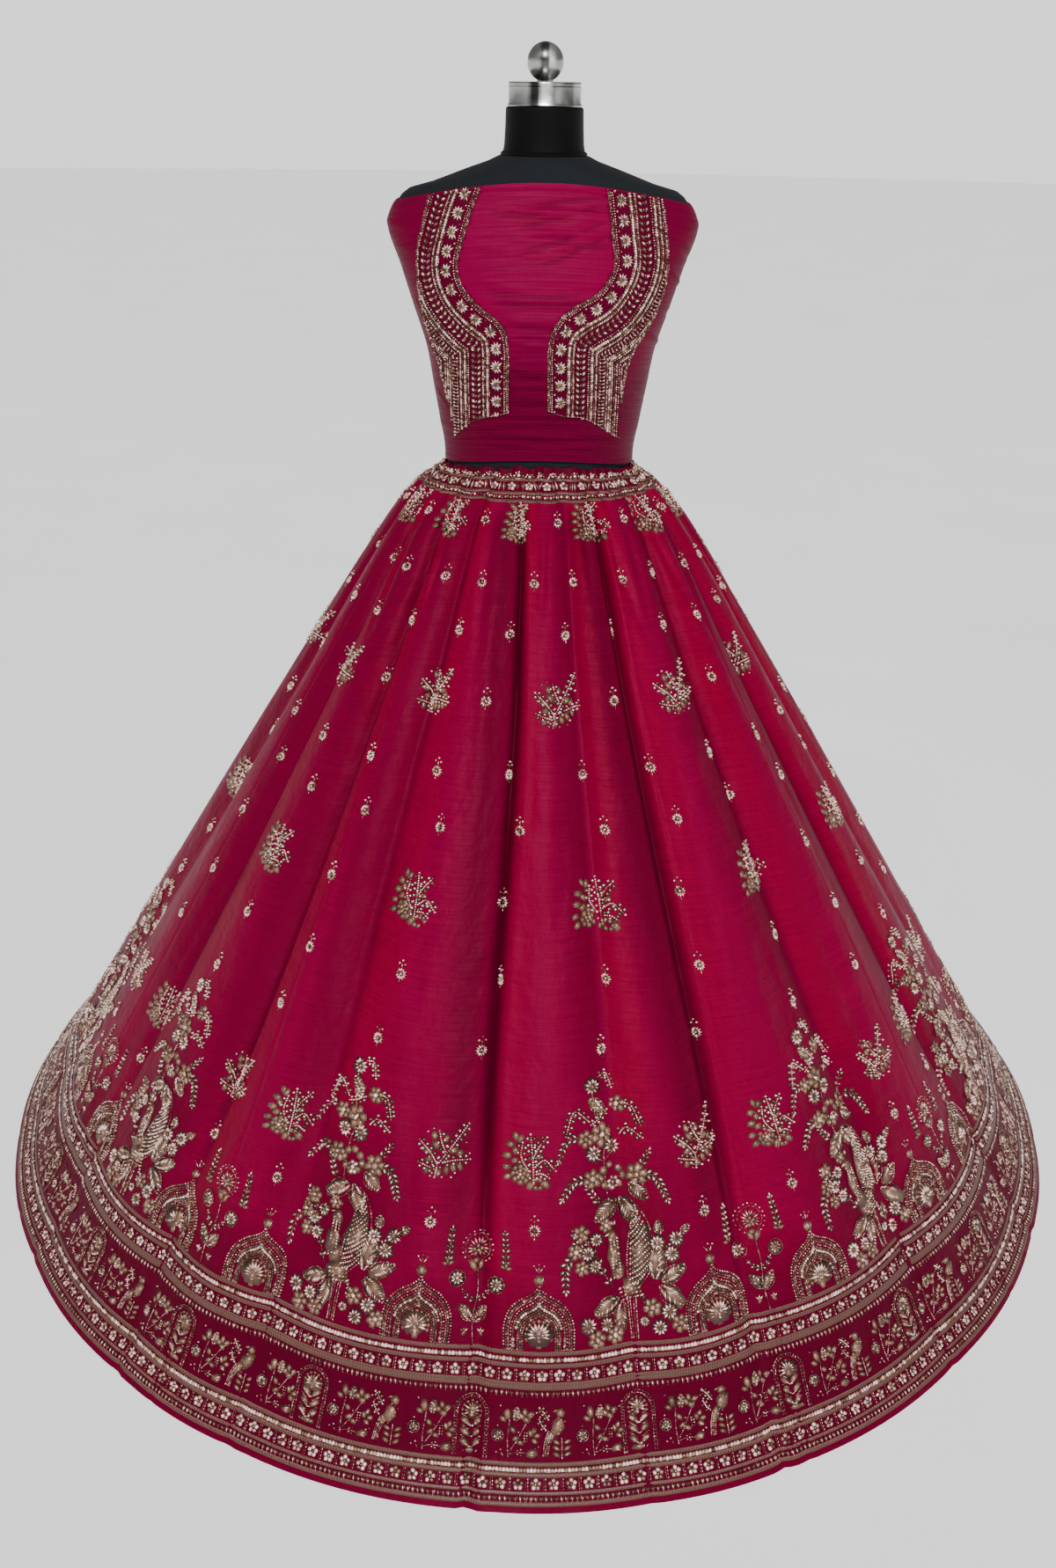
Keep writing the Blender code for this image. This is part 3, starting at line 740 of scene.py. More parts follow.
def silk_finish(name, weft, warp, shot):
    """Raw silk with a pink weft over a red warp that shows on the sides of the folds, partly as a painted
    sheen, darkened by the kept painted shade.
    """
    finish = Finish(name, 0.42)
    weave = finish.coordinates("UV")
    threads = slubs(finish, weave)
    clouds = finish.noise(weave, 3.0, 3.0, (2.2, 1, 1))
    if shot:
        # The kept shot share: the red warp on the folds' sides, partly a painted sheen on their lit side.
        steep = finish.sums("MULTIPLY_ADD", finish.attribute("shot"), 0.6, -0.2)
        share = finish.sums("ADD", steep, finish.between(clouds, 0.4, 0.72, -0.1, 0.3))
        share = finish.between(share, 0.0, 1.0)
        crumpled, height = finish.noise(weave, 15.0, 4.0, (1.25, 0.7, 1)), 0.007
    else:
        share = finish.between(clouds, 0.35, 0.75, 0.0, 0.3)
        crumpled, height = finish.noise(weave, 1.0, 3.0, (3.0, 74, 1)), 0.005
    base = finish.mix(share, rgba(weft), rgba(warp))
    base = finish.shaded(base, finish.between(threads, 0.36, 0.64, 0.78, 1.16))
    # Painted shade: the kept shade darkens the colour down to about a third.
    base = finish.shaded(base, finish.between(finish.attribute("shade"), 0.0, 1.0, 1.0, 0.34))
    finish.bump(crumpled, height)
    finish.bump(threads, 0.0004, 0.55)
    finish.level(Base_Color=base, Roughness=finish.between(threads, 0.3, 0.7, 0.58, 0.42))
    finish.level(Specular_IOR_Level=0.07, Specular_Tint=rgba((1.0, 0.25, 0.42)))
    finish.level(Sheen_Weight=0.012, Sheen_Roughness=0.4, Sheen_Tint=rgba((0.9, 0.05, 0.2)))
    return finish.material


LACE_LINK = 3.4 * MM
LACE_TWIST = 1.1 * MM


def lace_finish(name, silk, thread):
    """Chain-stitched lace: two rails with oval links between, and the silk showing in their eyes in painted
    shade, with painted shade along the rails.
    """
    finish = Finish(name, 0.45, 0.55)
    sums, between = finish.sums, finish.between
    flat = finish.node("ShaderNodeSeparateXYZ", {"Vector": finish.coordinates("UV")})
    along = sums("FRACT", sums("DIVIDE", flat.outputs[0], LACE_LINK))
    beside = sums("ABSOLUTE", sums("SUBTRACT", along, 0.5))
    from_middle = sums("ABSOLUTE", sums("SUBTRACT", flat.outputs[1], 0.5))
    round_along = sums("POWER", sums("DIVIDE", beside, 0.27), 2.0)
    round_across = sums("POWER", sums("DIVIDE", from_middle, 0.29), 2.0)
    eye = between(sums("ADD", round_along, round_across), 0.75, 1.15)
    gold = sums("MAXIMUM", eye, between(from_middle, 0.34, 0.38))
    from_rail = sums("ABSOLUTE", sums("SUBTRACT", from_middle, 0.355))
    twist = sums("SINE", sums("MULTIPLY", flat.outputs[0], 2 * pi / LACE_TWIST))
    # Painted shade along the middle of each rail, with the twist of its thread.
    shade = sums("MULTIPLY", between(from_rail, 0.0, 0.03, 0.45), between(twist, -1.0, 1.0, 0.7, 1.15))
    # The silk in the eyes is painted in shade, at less than half its own brightness.
    base = finish.mix(gold, rgba(silk, 0.42), finish.shaded(rgba(thread), shade))
    finish.level(Base_Color=base, Metallic=sums("MULTIPLY", gold, 0.6))
    finish.bump(sums("MULTIPLY", gold, shade), 0.0007, 0.8)
    return finish.material


def zari_finish(name, colours):
    """Metal thread, bugles and sequins, from dull antique gold to bright rose silver."""
    finish = Finish(name, 0.34, 0.45)
    tone = finish.attribute("tone")
    grain = finish.noise(finish.coordinates(), 1400.0, 2.0)
    base = finish.mix(finish.between(tone, 0.0, 0.5), rgba(colours.zari_dull), rgba(colours.zari_gold))
    base = finish.mix(finish.between(tone, 0.5, 1.0), base, rgba(colours.zari_rose))
    base = finish.shaded(base, finish.between(grain, 0.35, 0.65, 0.82, 1.12))
    finish.level(Base_Color=base, Metallic=finish.between(tone, 0.3, 0.9, 0.45, 0.2),
                 Roughness=finish.between(tone, 0.0, 1.0, 0.5, 0.17), Specular_IOR_Level=0.6)
    finish.bump(grain, 0.0002, 0.5)
    return finish.material


def jersey_finish(name, colour, roughness):
    """Knitted jersey stretched on the form, with fine ribs and a little lint."""
    finish = Finish(name, roughness)
    place = finish.coordinates()
    ribs = finish.node("ShaderNodeTexWave", {"Vector": place, "Scale": 420.0, "Distortion": 1.5})
    both = finish.sums("MULTIPLY_ADD", ribs.outputs["Fac"], 0.4, finish.noise(place, 900.0))
    worn = finish.between(finish.noise(place, 9.0), 0.3, 0.7, 0.85, 1.2)
    shade = finish.sums("MULTIPLY", finish.between(both, 0.4, 1.0, 0.8, 1.25), worn)
    finish.bump(both, 0.0003, 0.4)
    finish.level(Base_Color=finish.shaded(rgba(colour), shade), Sheen_Weight=0.02, Sheen_Roughness=0.5,
                 Specular_IOR_Level=0.08)
    return finish.material


def steel_finish(name, colour, roughness, bands):
    """Satin steel with painted reflections: upright bands of light and dark, each a step from one place to
    another.
    """
    finish = Finish(name, roughness, 1.0)
    place = finish.coordinates()
    beside = finish.node("ShaderNodeSeparateXYZ", {"Vector": place}).outputs[0]
    # Painted reflections, in bands across x.
    room = finish.between(beside, bands[0][0] * MM, bands[0][1] * MM, *bands[0][2:])
    for start, end, change in bands[1:]:
        room = finish.sums("ADD", room, finish.between(beside, start * MM, end * MM, 0.0, change))
    smudge = finish.noise(place, 60.0)
    shade = finish.sums("MULTIPLY", room, finish.between(smudge, 0.3, 0.7, 0.88, 1.05))
    finish.level(Base_Color=finish.shaded(rgba(colour), shade),
                 Roughness=finish.between(smudge, 0.35, 0.7, roughness * 0.8, roughness * 1.5))
    finish.bump(finish.noise(place, 1.0, 2.0, (30, 30, 2600)), 0.0001, 0.25)
    return finish.material


FINISHES = {}


def finish_of(name, make, *values):
    """A material that is made once and then shared."""
    if name not in FINISHES:
        FINISHES[name] = make(name, *values)
    return FINISHES[name]


def settings():
    return bpy.context.scene.lehenga


def skirt_silk():
    colours = settings().colours
    return finish_of("raw_silk_skirt", silk_finish, colours.silk_weft, colours.silk_warp, True)


def choli_silk():
    colours = settings().colours
    return finish_of("raw_silk_blouse", silk_finish, colours.choli_silk, colours.silk_warp, False)


def lace():
    colours = settings().colours
    return finish_of("chain_lace", lace_finish, colours.silk_weft, colours.lace_thread)


def zari():
    return finish_of("zari_and_bugles", zari_finish, settings().colours)


# Stitches

GRAIN, BEAD, SEQUIN, PAD = range(4)
Stitch = namedtuple("Stitch", "kind x y angle length width height tone")
STITCH_SEED = 11
# How many sides each kind of stitch has, and its height against half its length.
STITCH_FORMS = {GRAIN: (4, 2), BEAD: (4, 2), SEQUIN: (5, 1), PAD: (6, 1)}


def stitch_shape(kind):
    """The points and triangles of one stitch, two units across, lying in its own plane."""
    sides, height = STITCH_FORMS[kind]
    made = bmesh.new()
    bmesh.ops.create_cone(made, cap_ends=True, segments=sides, radius1=1, radius2=0, depth=height)
    bmesh.ops.triangulate(made, faces=made.faces)
    made.verts.index_update()
    points = np.array([vertex.co[:] for vertex in made.verts])
    faces = np.array([[vertex.index for vertex in face.verts] for face in made.faces])
    made.free()
    return points, faces


def smooth_path(points):
    """A dense line through a few points, rounded between them."""
    points = np.array(points, float)
    if len(points) < 3:
        return points
    place = np.linspace(0, len(points) - 1, 14 * len(points))
    low = np.clip(place.astype(int), 0, len(points) - 2)
    before = np.where((low > 0)[:, None], points[low - 1], 2 * points[0] - points[1])
    beyond = np.clip(low + 2, 0, len(points) - 1)
    after = np.where((low + 2 < len(points))[:, None], points[beyond], 2 * points[-1] - points[-2])
    return curved(before, points[low], points[low + 1], after, (place - low)[:, None])


def spaced(points, pitch):
    """Places at an even pitch along a smooth line, each with the line's direction there in degrees."""
    line = smooth_path(points)
    reach = np.concatenate([[0], np.cumsum(np.hypot(*np.diff(line, axis=0).T))])
    count = max(int(round(reach[-1] / pitch)), 1)
    stops = (np.arange(count) + 0.5) * reach[-1] / count
    x, y = (np.interp(stops, reach, axis) for axis in line.T)
    ahead = np.minimum(stops + 0.3, reach[-1])
    behind = np.maximum(stops - 0.3, 0)
    across, upwards = (np.interp(ahead, reach, axis) - np.interp(behind, reach, axis) for axis in line.T)
    return list(zip(x, y, np.degrees(np.arctan2(upwards, across))))


def polar(x, y, distance, angle):
    return x + distance * cos(radians(angle)), y + distance * sin(radians(angle))


def turned(x, y, angle, along, beside=0):
    """A point that lies along and beside a direction, from another point."""
    ahead, aside = cos(radians(angle)), sin(radians(angle))
    return x + along * ahead - beside * aside, y + along * aside + beside * ahead


def around(count, first=0):
    """Directions at even steps all round."""
    return [360 / count * index + first for index in range(count)]


def swept(first, last, count):
    """Directions at even steps from one to another."""
    return [first + (last - first) / (count - 1) * index for index in range(count)]


def motif(draw):
    """Makes a function that draws on an empty motif into one that gives the finished motif."""

    def drawn():
        made = Motif()
        draw(made)
        return made

    return drawn


class Motif:
    """The stitches of one motif, and the small shapes that they make up."""

    def __init__(self):
        self.stitches = []

    def add(self, *stitch):
        self.stitches.append(Stitch(*stitch))

    def grain(self, x, y, angle, length, width, tone):
        self.add(GRAIN, x, y, angle, length * 1.04, width * 1.14, width * 0.95, tone)

    def bead(self, x, y, size, tone):
        self.add(BEAD, x, y, 0, size, size, size * 0.85, tone)

    def sequin(self, x, y, size, tone):
        self.add(SEQUIN, x, y, 0, size, size, 0.9, tone)

    def pad(self, x, y, angle, length, width, tone=0.42):
        self.add(PAD, x, y, angle, length * 1.08, width * 1.14, 1.7, tone)

    def pads(self, *rows):
        for row in rows:
            self.pad(*row)

    def dots(self, places, size, tone):
        for x, y in places:
            self.bead(x, y, size, tone)

    def rays(self, x, y, distance, turns, length, width, tone):
        """Bugles round a place, pointing away from it."""
        for turn in turns:
            self.grain(*polar(x, y, distance, turn), turn, length, width, tone)

    def petals(self, x, y, distance, turns, length, width, tone=0.42, lean=0):
        """Pads round a place, pointing away from it or leaning by some degrees."""
        for turn in turns:
            self.pad(*polar(x, y, distance, turn), turn + lean, length, width, tone)

    def row(self, way, points, thickness, pitch, tone, length=3.0):
        """One kind of stitching at an even pitch along a line."""
        for x, y, angle in spaced(points, pitch):
            if way == "cord":
                self.add(GRAIN, x, y, angle, pitch * 1.5, thickness, min(thickness * 0.9, 1.2), tone)
            elif way == "rope":
                self.grain(x, y, angle + 42, length, thickness, tone)
            elif way == "beads":
                self.bead(x, y, thickness, tone)
            else:
                self.sequin(x, y, thickness, tone)

    def cord(self, points, width, tone, pitch=4.2):
        self.row("cord", points, width, pitch, tone)

    def rope(self, points, width, tone, pitch=2.2, length=3.0):
        self.row("rope", points, width, pitch, tone, length)

    def rosette(self, x, y, size, tone, rays=10):
        """Bugles round a centre like the rays of a daisy, on a dark pad of dull thread and painted shade."""
        # A dark pad under the rays: partly dull thread, partly painted shade.
        self.pad(x, y, 0, size * 1.1, size * 1.1, 0.05)
        self.rays(x, y, size * 0.33, around(rays, 9), size * 0.42, size * 0.2, tone)
        self.bead(x, y, size * 0.26, 0.5)

    def flower(self, x, y, size, tone):
        """Five cupped sequins round a bead."""
        for turn in around(5, 90):
            self.sequin(*polar(x, y, size * 0.3, turn), size * 0.42, tone)
        self.bead(x, y, size * 0.2, 0.7)

    def blossom(self, x, y, size, tone):
        """A flower filled with flat thread, with a sequin in its middle."""
        for turn in around(6, 15):
            self.pad(*polar(x, y, size * 0.3, turn), turn, size * 0.5, size * 0.42, tone)
            self.grain(*polar(x, y, size * 0.3, turn + 30), turn, size * 0.4, size * 0.07, 0.05)
        self.sequin(x, y, size * 0.36, 0.9)
        self.bead(x, y, size * 0.17, 0.95)

    def medallion(self, x, y, size):
        """A round of thread outside a ring of bugles."""
        self.cord([polar(x, y, size * 0.46, turn) for turn in range(0, 361, 30)], 1.3, 0.4, 2.6)
        self.rosette(x, y, size * 0.8, 0.8, 9)

    def leaf(self, x, y, angle, length, width, tone):
        """A filled leaf with a corded edge and slanting bugles on both sides of its midrib."""
        self.pad(*polar(x, y, length * 0.5, angle), angle, length * 1.02, width, 0.25)
        for side in (-1, 1):
            edge = [(0, 0), (length * 0.3, side * width * 0.5), (length * 0.65, side * width * 0.46),
                    (length, 0)]
            self.cord([turned(x, y, angle, *point) for point in edge], 1.3, 0.45)
        ribs = max(int(length / 3.4), 3)
        for index in range(ribs):
            share = (index + 0.8) / (ribs + 0.4)
            reach = width * 0.44 * sin(pi * share**0.85) + 0.6
            for side in (-1, 1):
                place = turned(x, y, angle, length * share, side * reach * 0.52)
                self.grain(*place, angle + side * 42, reach * 1.3, 2.6, tone if index % 2 else tone - 0.4)

    def spray(self, points, pairs, leaf, tone):
        """A stem with pairs of small leaves that get shorter towards its tip."""
        self.cord(points, 2.0, 0.2)
        places = spaced(points, 1.0)
        for index in range(pairs):
            share = (index + 0.6) / pairs
            x, y, angle = places[min(int(share * len(places)), len(places) - 1)]
            size = leaf * (1.1 - 0.35 * share)
            for side in (-1, 1):
                lean = angle + side * 42
                self.pad(*turned(x, y, angle, size * 0.28, side * size * 0.46), lean, size * 1.15,
                         size * 0.66, 0.1)
                self.grain(*turned(x, y, angle, size * 0.3, side * size * 0.42), lean, size * 0.98,
                           size * 0.44, tone)
        x, y, angle = places[-1]
        self.grain(*polar(x, y, leaf * 0.4, angle), angle, leaf * 0.9, leaf * 0.4, tone)

    def berries(self, points, pairs, size, tone):
        """A beaded stem with beads in loops of thread beside it, and one at its tip."""
        for x, y, angle in spaced(points, 2.9):
            self.grain(x, y, angle, 3.4, 2.6, 0.97)
        places = spaced(points, 1.0)
        for index in range(pairs):
            x, y, angle = places[int((index + 0.6) / pairs * (len(places) - 1))]
            for side in (-1, 1):
                place = turned(x, y, angle, size * 0.5, side * size * 1.2)
                self.pad(*place, angle, size * 1.5, size * 1.5, 0.1)
                self.bead(*place, size * 1.25, tone)
        x, y, angle = places[-1]
        self.bead(*polar(x, y, size * 0.8, angle), size * 1.15, tone)

    def fan(self, x, y, size, rays, tone):
        """A fan of bugles on flat thread, over a small base, with a scalloped edge."""
        self.pad(x, y + size * 0.03, 90, size * 0.9, size * 0.98, 0.14)
        for turn in swept(-20, 200, rays):
            self.grain(*polar(x, y, size * 0.28, turn), turn, size * 0.38, size * 0.115, tone)
            self.pad(*polar(x, y, size * 0.47, turn), turn + 90, size * 0.18, size * 0.13)
        self.pad(x, y - size * 0.2, 90, size * 0.3, size * 0.52, 0.3)
        self.rays(x, y - size * 0.14, size * 0.05, (60, 90, 120), size * 0.2, size * 0.06, 0.75)
        self.sequin(x, y - size * 0.22, size * 0.16, 0.9)


# Motifs, in millimetres


@motif
def small_butti(made):
    """An oval daisy under three looped beads, with a short point below it."""
    made.rays(0, 0, 5.0, around(12), 6.2, 2.7, 0.97)
    made.bead(0, 0, 4.2, 0.85)
    made.grain(0, -9.4, 90, 3.8, 1.6, 0.55)
    made.grain(0, 10.2, 90, 5.0, 1.5, 0.6)
    made.dots(((-4.0, 12.4), (4.0, 12.4), (0, 16.6)), 3.6, 0.9)


# The beaded stems of a medium motif: three points that each runs through, its pairs of beads and their size.
SPRIG_STEMS = (
    ((-7, -31), (-6, -22), (-5, -14), 2, 4.6), ((-5, -14), (-15, 0), (-29, 13), 5, 4.6),
    ((-4, -13), (8, 4), (28, 33), 7, 4.8), ((0, -12), (14, -9), (32, -8), 4, 4.6),
    ((-7, -20), (-16, -17), (-27, -13), 3, 4.4), ((4, 0), (-2, 12), (-6, 24), 3, 4.8),
)
ROSE_STEMS = (
    ((6, -27), (5, 0), (2, 29), 7, 4.8), ((5, 2), (12, 16), (21, 27), 4, 4.8),
    ((7, -8), (19, 1), (31, -10), 4, 5.0), ((1, -14), (-9, 2), (-8, 18), 4, 4.6),
    ((8, -16), (16, -15), (23, -19), 2, 4.4),
)
# Its flat leaves: the place, direction, length and width of each.
SPRIG_LEAVES = (
    (-19, 2, 160, 14, 9), (-9, 9, 120, 14, 9), (-12, 20, 100, 12, 8), (3, 17, 60, 12, 7), (14, 3, 20, 14, 8),
    (21, -1, 40, 12, 8), (14, -18, 280, 13, 8), (6, -20, 265, 13, 8), (22, -16, 300, 12, 7),
    (-3, -23, 250, 12, 8), (-16, -8, 190, 12, 7), (-18, -22, 230, 10, 7),
)
ROSE_LEAVES = (
    (-17, 27, 120, 13, 8), (-11, 24, 60, 13, 8), (-23, 15, 165, 14, 9), (-17, 9, 120, 12, 8),
    (-26, 2, 180, 14, 9), (-18, -3, 200, 12, 8), (-28, -12, 190, 13, 8), (-26, -23, 205, 13, 8),
    (20, -27, 320, 14, 10), (2, -29, 250, 13, 9), (13, 5, 30, 11, 7),
)
SPRIG_BEADS = ((-12, -28), (2, -29), (13, -29), (17, -24), (-21, 25), (-14, 29), (-27, 4), (28, 12), (33, -1))


def beaded_stems(made, stems):
    for *points, pairs, size in stems:
        made.berries(points, pairs, size * 0.72, 0.96)


def flat_leaves(made, leaves):
    for x, y, angle, length, width in leaves:
        made.pad(x, y, angle, length, width, 0.4)
        made.grain(x, y, angle, length * 0.85, 1.3, 0.1)


@motif
def sprig(made):
    """A spray of beaded stems with flat gold leaves."""
    flat_leaves(made, SPRIG_LEAVES)
    beaded_stems(made, SPRIG_STEMS)
    made.dots(SPRIG_BEADS, 3.6, 0.85)


@motif
def rose_sprig(made):
    """A filled rose low in a cluster of beaded stems."""
    flat_leaves(made, ROSE_LEAVES)
    made.petals(-10, -18, 9, around(8), 10, 8, 0.28, 90)
    made.petals(-10, -18, 4.5, around(5, 20), 7, 6, 0.5, 90)
    made.sequin(-10, -18, 5.5, 0.95)
    made.petals(11, -27, 5.5, around(6), 8, 6, 0.3, 90)
    beaded_stems(made, ROSE_STEMS)


def niche_line(half, knee):
    """Up one side of a niche, over its round top and down the other side."""
    arc = [polar(0, 49.5, half, turn) for turn in range(180, -1, -20)]
    return [(-half, 0), (-half, knee), *arc, (half, knee), (half, 0)]


@motif
def niche(made):
    """A round-topped niche of laced cord with a fan over three chevrons of leaves."""
    for half in (20.5, 17.0):
        made.cord(niche_line(half, 24.75), 1.2, 0.35)
    for x, y, angle in spaced(niche_line(18.75, 25), 3.4):
        made.grain(x, y, angle + 90, 3.2, 0.9, 0.42)
    made.fan(0, 50, 24, 9, 0.8)
    for level in (38, 26, 14):
        for side in (-1, 1):
            angle = 90 - side * 52
            made.pad(side * 6.5, level + 0.5, angle, 15, 7.5, 0.4)
            for step in range(5):
                place = turned(side * 1.2, level - 5, angle, 2.6 * step)
                if level == 26:
                    made.grain(*place, angle, 3.4, 1.5, 0.85)
                else:
                    made.sequin(*place, 3.2, 0.9)
            for step in range(4):
                place = turned(side * 2.0, level + 1.5, angle, 3 + 2.8 * step)
                made.grain(*place, angle - side * 38, 4.2, 1.0, 0.55)
    made.pad(0, 5.5, 0, 24, 7, 0.36)
    for x in (-8, -4, 0, 4, 8):
        made.grain(x, 5.5, 90 - x * 4, 5, 1.1, 0.55)


@motif
def niche_spray(made):
    """A flowering branch that fills the space beside a niche."""
    made.rope([(-6, 3), (-7, 22), (-5, 46)], 1.2, 0.6)
    made.cord([(-4, 10), (6, 26), (16, 44), (24, 54)], 1.2, 0.7, 2.6)
    made.cord([(-7, 6), (4, 9), (16, 8)], 1.1, 0.6, 2.6)
    made.medallion(-19, 27, 15)
    made.pads((-8, 53, 95, 15, 9), (-13, 46, 150, 10, 6))
    made.grain(-8, 53, 95, 10, 1.2, 0.8)
    made.leaf(2, 44, 84, 17, 9, 0.95)
    for x, y, angle in ((13, 55, 100), (20, 52, 30), (15, 46, 330), (9, 50, 150)):
        made.pad(x, y, angle, 10, 7)
        made.grain(x, y, angle, 7, 1.1, 0.7)
    for x, y, angle in ((24, 34, 60), (28, 28, 15), (25, 22, 325), (20, 31, 110)):
        made.pad(x, y, angle, 9, 6, 0.45)
        made.grain(*polar(x, y, 1, angle), angle, 6.5, 1.6, 0.9)
    made.dots([(x, 22 + 3.1 * step) for step in range(4) for x in (13, 16)], 2.4, 0.72)
    made.dots(((30, 60), (27, 55), (31, 50), (-16, 61), (-19, 38), (-15, 11), (30, 16), (26, 14),
               (-20, 8), (6, 32), (3, 20)), 2.6, 0.85)
    made.pads((2, 24, 30, 10, 6), (8, 20, 340, 10, 6), (-1, 34, 140, 10, 6))
    made.dots([polar(8, 9, 3.4, turn) for turn in around(5)], 2.2, 0.8)
    made.bead(8, 9, 2.2, 0.95)
    made.pad(22, 8, 10, 15, 10, 0.4)
    made.rays(20, 8, 3, (-30, 0, 30), 8, 1.4, 0.75)
    made.grain(-13, 6, 300, 6, 1.5, 0.9)


@motif
def niche_bird(made):
    """A small bird on a leafy stem, with its long tail hanging down to one side."""
    made.pads((3, 41, 60, 27, 15, 0.4), (5, 54, 100, 12, 10), (-7, 29, 62, 20, 10, 0.45),
              (-1, 57, 195, 7, 3, 0.5))
    made.bead(5, 56, 2.2, 0.95)
    for step in range(5):
        for row in range(3):
            made.bead(*turned(-6, 24, 62, 5 + 5.2 * step, 5 - 4.6 * row), 2.2, 0.72 if row else 0.5)
    for row in range(4):
        feather = [(-2 - row * 2.6, 34), (-8 - row * 2.2, 20), (-11 - row * 1.9, 5)]
        made.cord(feather, 1.3, 0.55 + 0.1 * row, 2.6)
    made.cord([(6, 2), (6, 26)], 1.4, 0.85, 3.0)
    for y in (6, 13, 20):
        for side in (-1, 1):
            made.pad(6 + side * 6.5, y + 1, 90 - side * 62, 10, 5)
            made.grain(6 + side * 6, y + 1, 90 - side * 62, 7, 1.0, 0.65)
    made.berries([(-9, 46), (-14, 54), (-19, 60)], 3, 2.4, 0.85)
    made.berries([(-12, 34), (-17, 40), (-20, 46)], 2, 2.4, 0.85)


ARCH_HALF = ((42.0, 0.0), (42.5, 16.0), (41.5, 30.0), (36.0, 45.0), (25.0, 57.0), (11.0, 65.0), (3.0, 71.0),
             (0.0, 77.0))
ARCH_JAMB = 14.0
# A row of the arch: its size against the outermost one, its stitching, its thickness, pitch and tone.
ARCH_ROWS = (
    (1.00, "beads", 3.0, 3.7, 0.78), (0.925, "cord", 4.2, 3.2, 0.1), (0.87, "rope", 1.3, 2.3, 0.62),
    (0.80, "beads", 2.7, 3.9, 0.72), (0.735, "cord", 4.2, 3.2, 0.1), (0.66, "sequins", 4.6, 3.4, 0.93),
    (0.585, "cord", 4.2, 3.2, 0.1), (0.53, "rope", 1.2, 2.2, 0.55), (0.475, "cord", 4.2, 3.2, 0.1),
)


def arch_line(size):
    """The ogee of one row of the arch, from its left foot over to its right one."""
    right = [(x * size, y if y <= ARCH_JAMB else ARCH_JAMB + (y - ARCH_JAMB) * size) for x, y in ARCH_HALF]
    left = [(-x, y) for x, y in right[:-1]]
    return [*left, right[-1], *reversed(right[:-1])]


@motif
def arch(made):
    """A palace window: rows of beads, cord and sequins over a fan flower, under a bud with three prongs."""
    for size, way, *row in ARCH_ROWS:
        line = arch_line(size)
        made.row(way, line[2:-2] if way == "sequins" else line, *row)
    for side in (-1, 1):
        for x, y in ((31, 5), (31, 12)):
            made.sequin(side * x, y, 4.6, 0.85)
            made.bead(side * x, y, 1.8, 0.6)
        for x in (26, 36.5):
            made.cord([(side * x, 0), (side * x, 15)], 1.2, 0.4, 2.6)
        made.cord([(side * 20, 0.5), (side * 42, 0.5)], 1.2, 0.4, 2.6)
    made.fan(0, 19, 34, 11, 0.85)
    made.rays(0, 14, 6.5, swept(20, 160, 7), 7, 1.8, 0.6)
    made.pads((0, 8, 90, 12, 9, 0.5), (0, 83, 90, 13, 12))
    for x, angle in ((-4, 108), (0, 90), (4, 72)):
        made.grain(x, 83, angle, 10, 1.4, 0.75)
    for angle in (55, 90, 125):
        made.grain(*polar(0, 91, 5, angle), angle, 8, 1.5, 0.8)
        made.bead(*polar(0, 91, 10.5, angle), 2.8, 0.85)


@motif
def plant(made):
    """A flowering plant: a big round bloom over outlined leaves and two side flowers, between two sprays."""
    made.cord([(0, 0), (-2, 30), (2, 60), (0, 88)], 1.5, 0.5, 2.6)
    for side, x, y in ((-1, -11, 14), (1, 9, 13)):
        made.rays(x, y, 3.4, (90 - side * 50, 90, 90 + side * 50), 6, 2.2, 0.85)
        made.pad(x, y - 1, 90 + side * 40, 8, 5)
    made.leaf(-2, 26, 128, 25, 12.5, 0.85)
    made.leaf(0, 24, 56, 26, 13, 0.85)
    for side, reach, top in ((-1, -23, 76), (1, 25, 72)):
        made.spray([(0, 50), (side * 9, 54), (side * 15, 62)], 3, 4.6, 0.8)
        made.medallion(reach, top, 21)
        made.blossom(reach, top, 13, 0.45)
        x = side * 35
        made.petals(x, 92, 4, (90 - side * 75, 90 - side * 10, 90 + side * 60), 8, 4.4)
        made.spray([(x, 94), (x - side * 1, 112), (x - side * 3, 134)], 6, 6.6, 0.78)
        angle = 90 - side * 32
        made.pad(*turned(0, 84, angle, 8), angle, 17, 8)
        made.grain(*turned(0, 84, angle, 8), angle, 13, 1.2, 0.72)
    made.cord([polar(0, 112, 15.5, turn) for turn in range(-60, 241, 30)], 1.3, 0.4, 2.6)
    made.dots([polar(0, 112, 19, turn) for turn in swept(-55, 235, 17)], 2.9, 0.8)
    made.rays(0, 110, 9.5, swept(-40, 220, 13), 9, 2.2, 0.85)
    made.petals(0, 108, 4.5, around(5, 18), 7, 5.5, 0.5)
    made.sequin(0, 108, 5, 0.95)
    made.pad(0, 96, 0, 15, 8, 0.4)


# The peacock tree: where its daisies, filled flowers, corded leaves and sprays lie.
TREE_DAISIES = (
    (-56, 24, 17), (-34, 22, 15), (44, 30, 17), (31, 12, 16), (-50, 108, 15), (-38, 122, 14), (-42, 92, 14),
    (36, 112, 16), (60, 116, 16), (53, 98, 16), (-32, 224, 17), (-8, 227, 17), (-27, 303, 17), (13, 20, 10),
)
TREE_FLOWERS = (
    (-47, 6, 18), (-24, 8, 17), (24, 36, 18), (57, 15, 18), (-56, 132, 17), (-64, 112, 16), (-58, 92, 15),
    (-36, 194, 19), (19, 194, 22), (-40, 243, 17), (-19, 243, 24), (2, 277, 17), (-24, 136, 14),
)
TREE_LEAVES = (
    (-16, 50, 205, 34, 17), (-12, 46, 262, 34, 16), (30, 68, 84, 44, 22), (34, 62, 318, 38, 19),
    (38, 66, 30, 34, 16), (-8, 164, 214, 36, 18), (-4, 166, 300, 34, 18), (8, 184, 322, 28, 16),
    (-18, 272, 128, 22, 12), (-22, 262, 80, 22, 11), (40, 122, 95, 17, 9), (66, 120, 40, 15, 8),
)
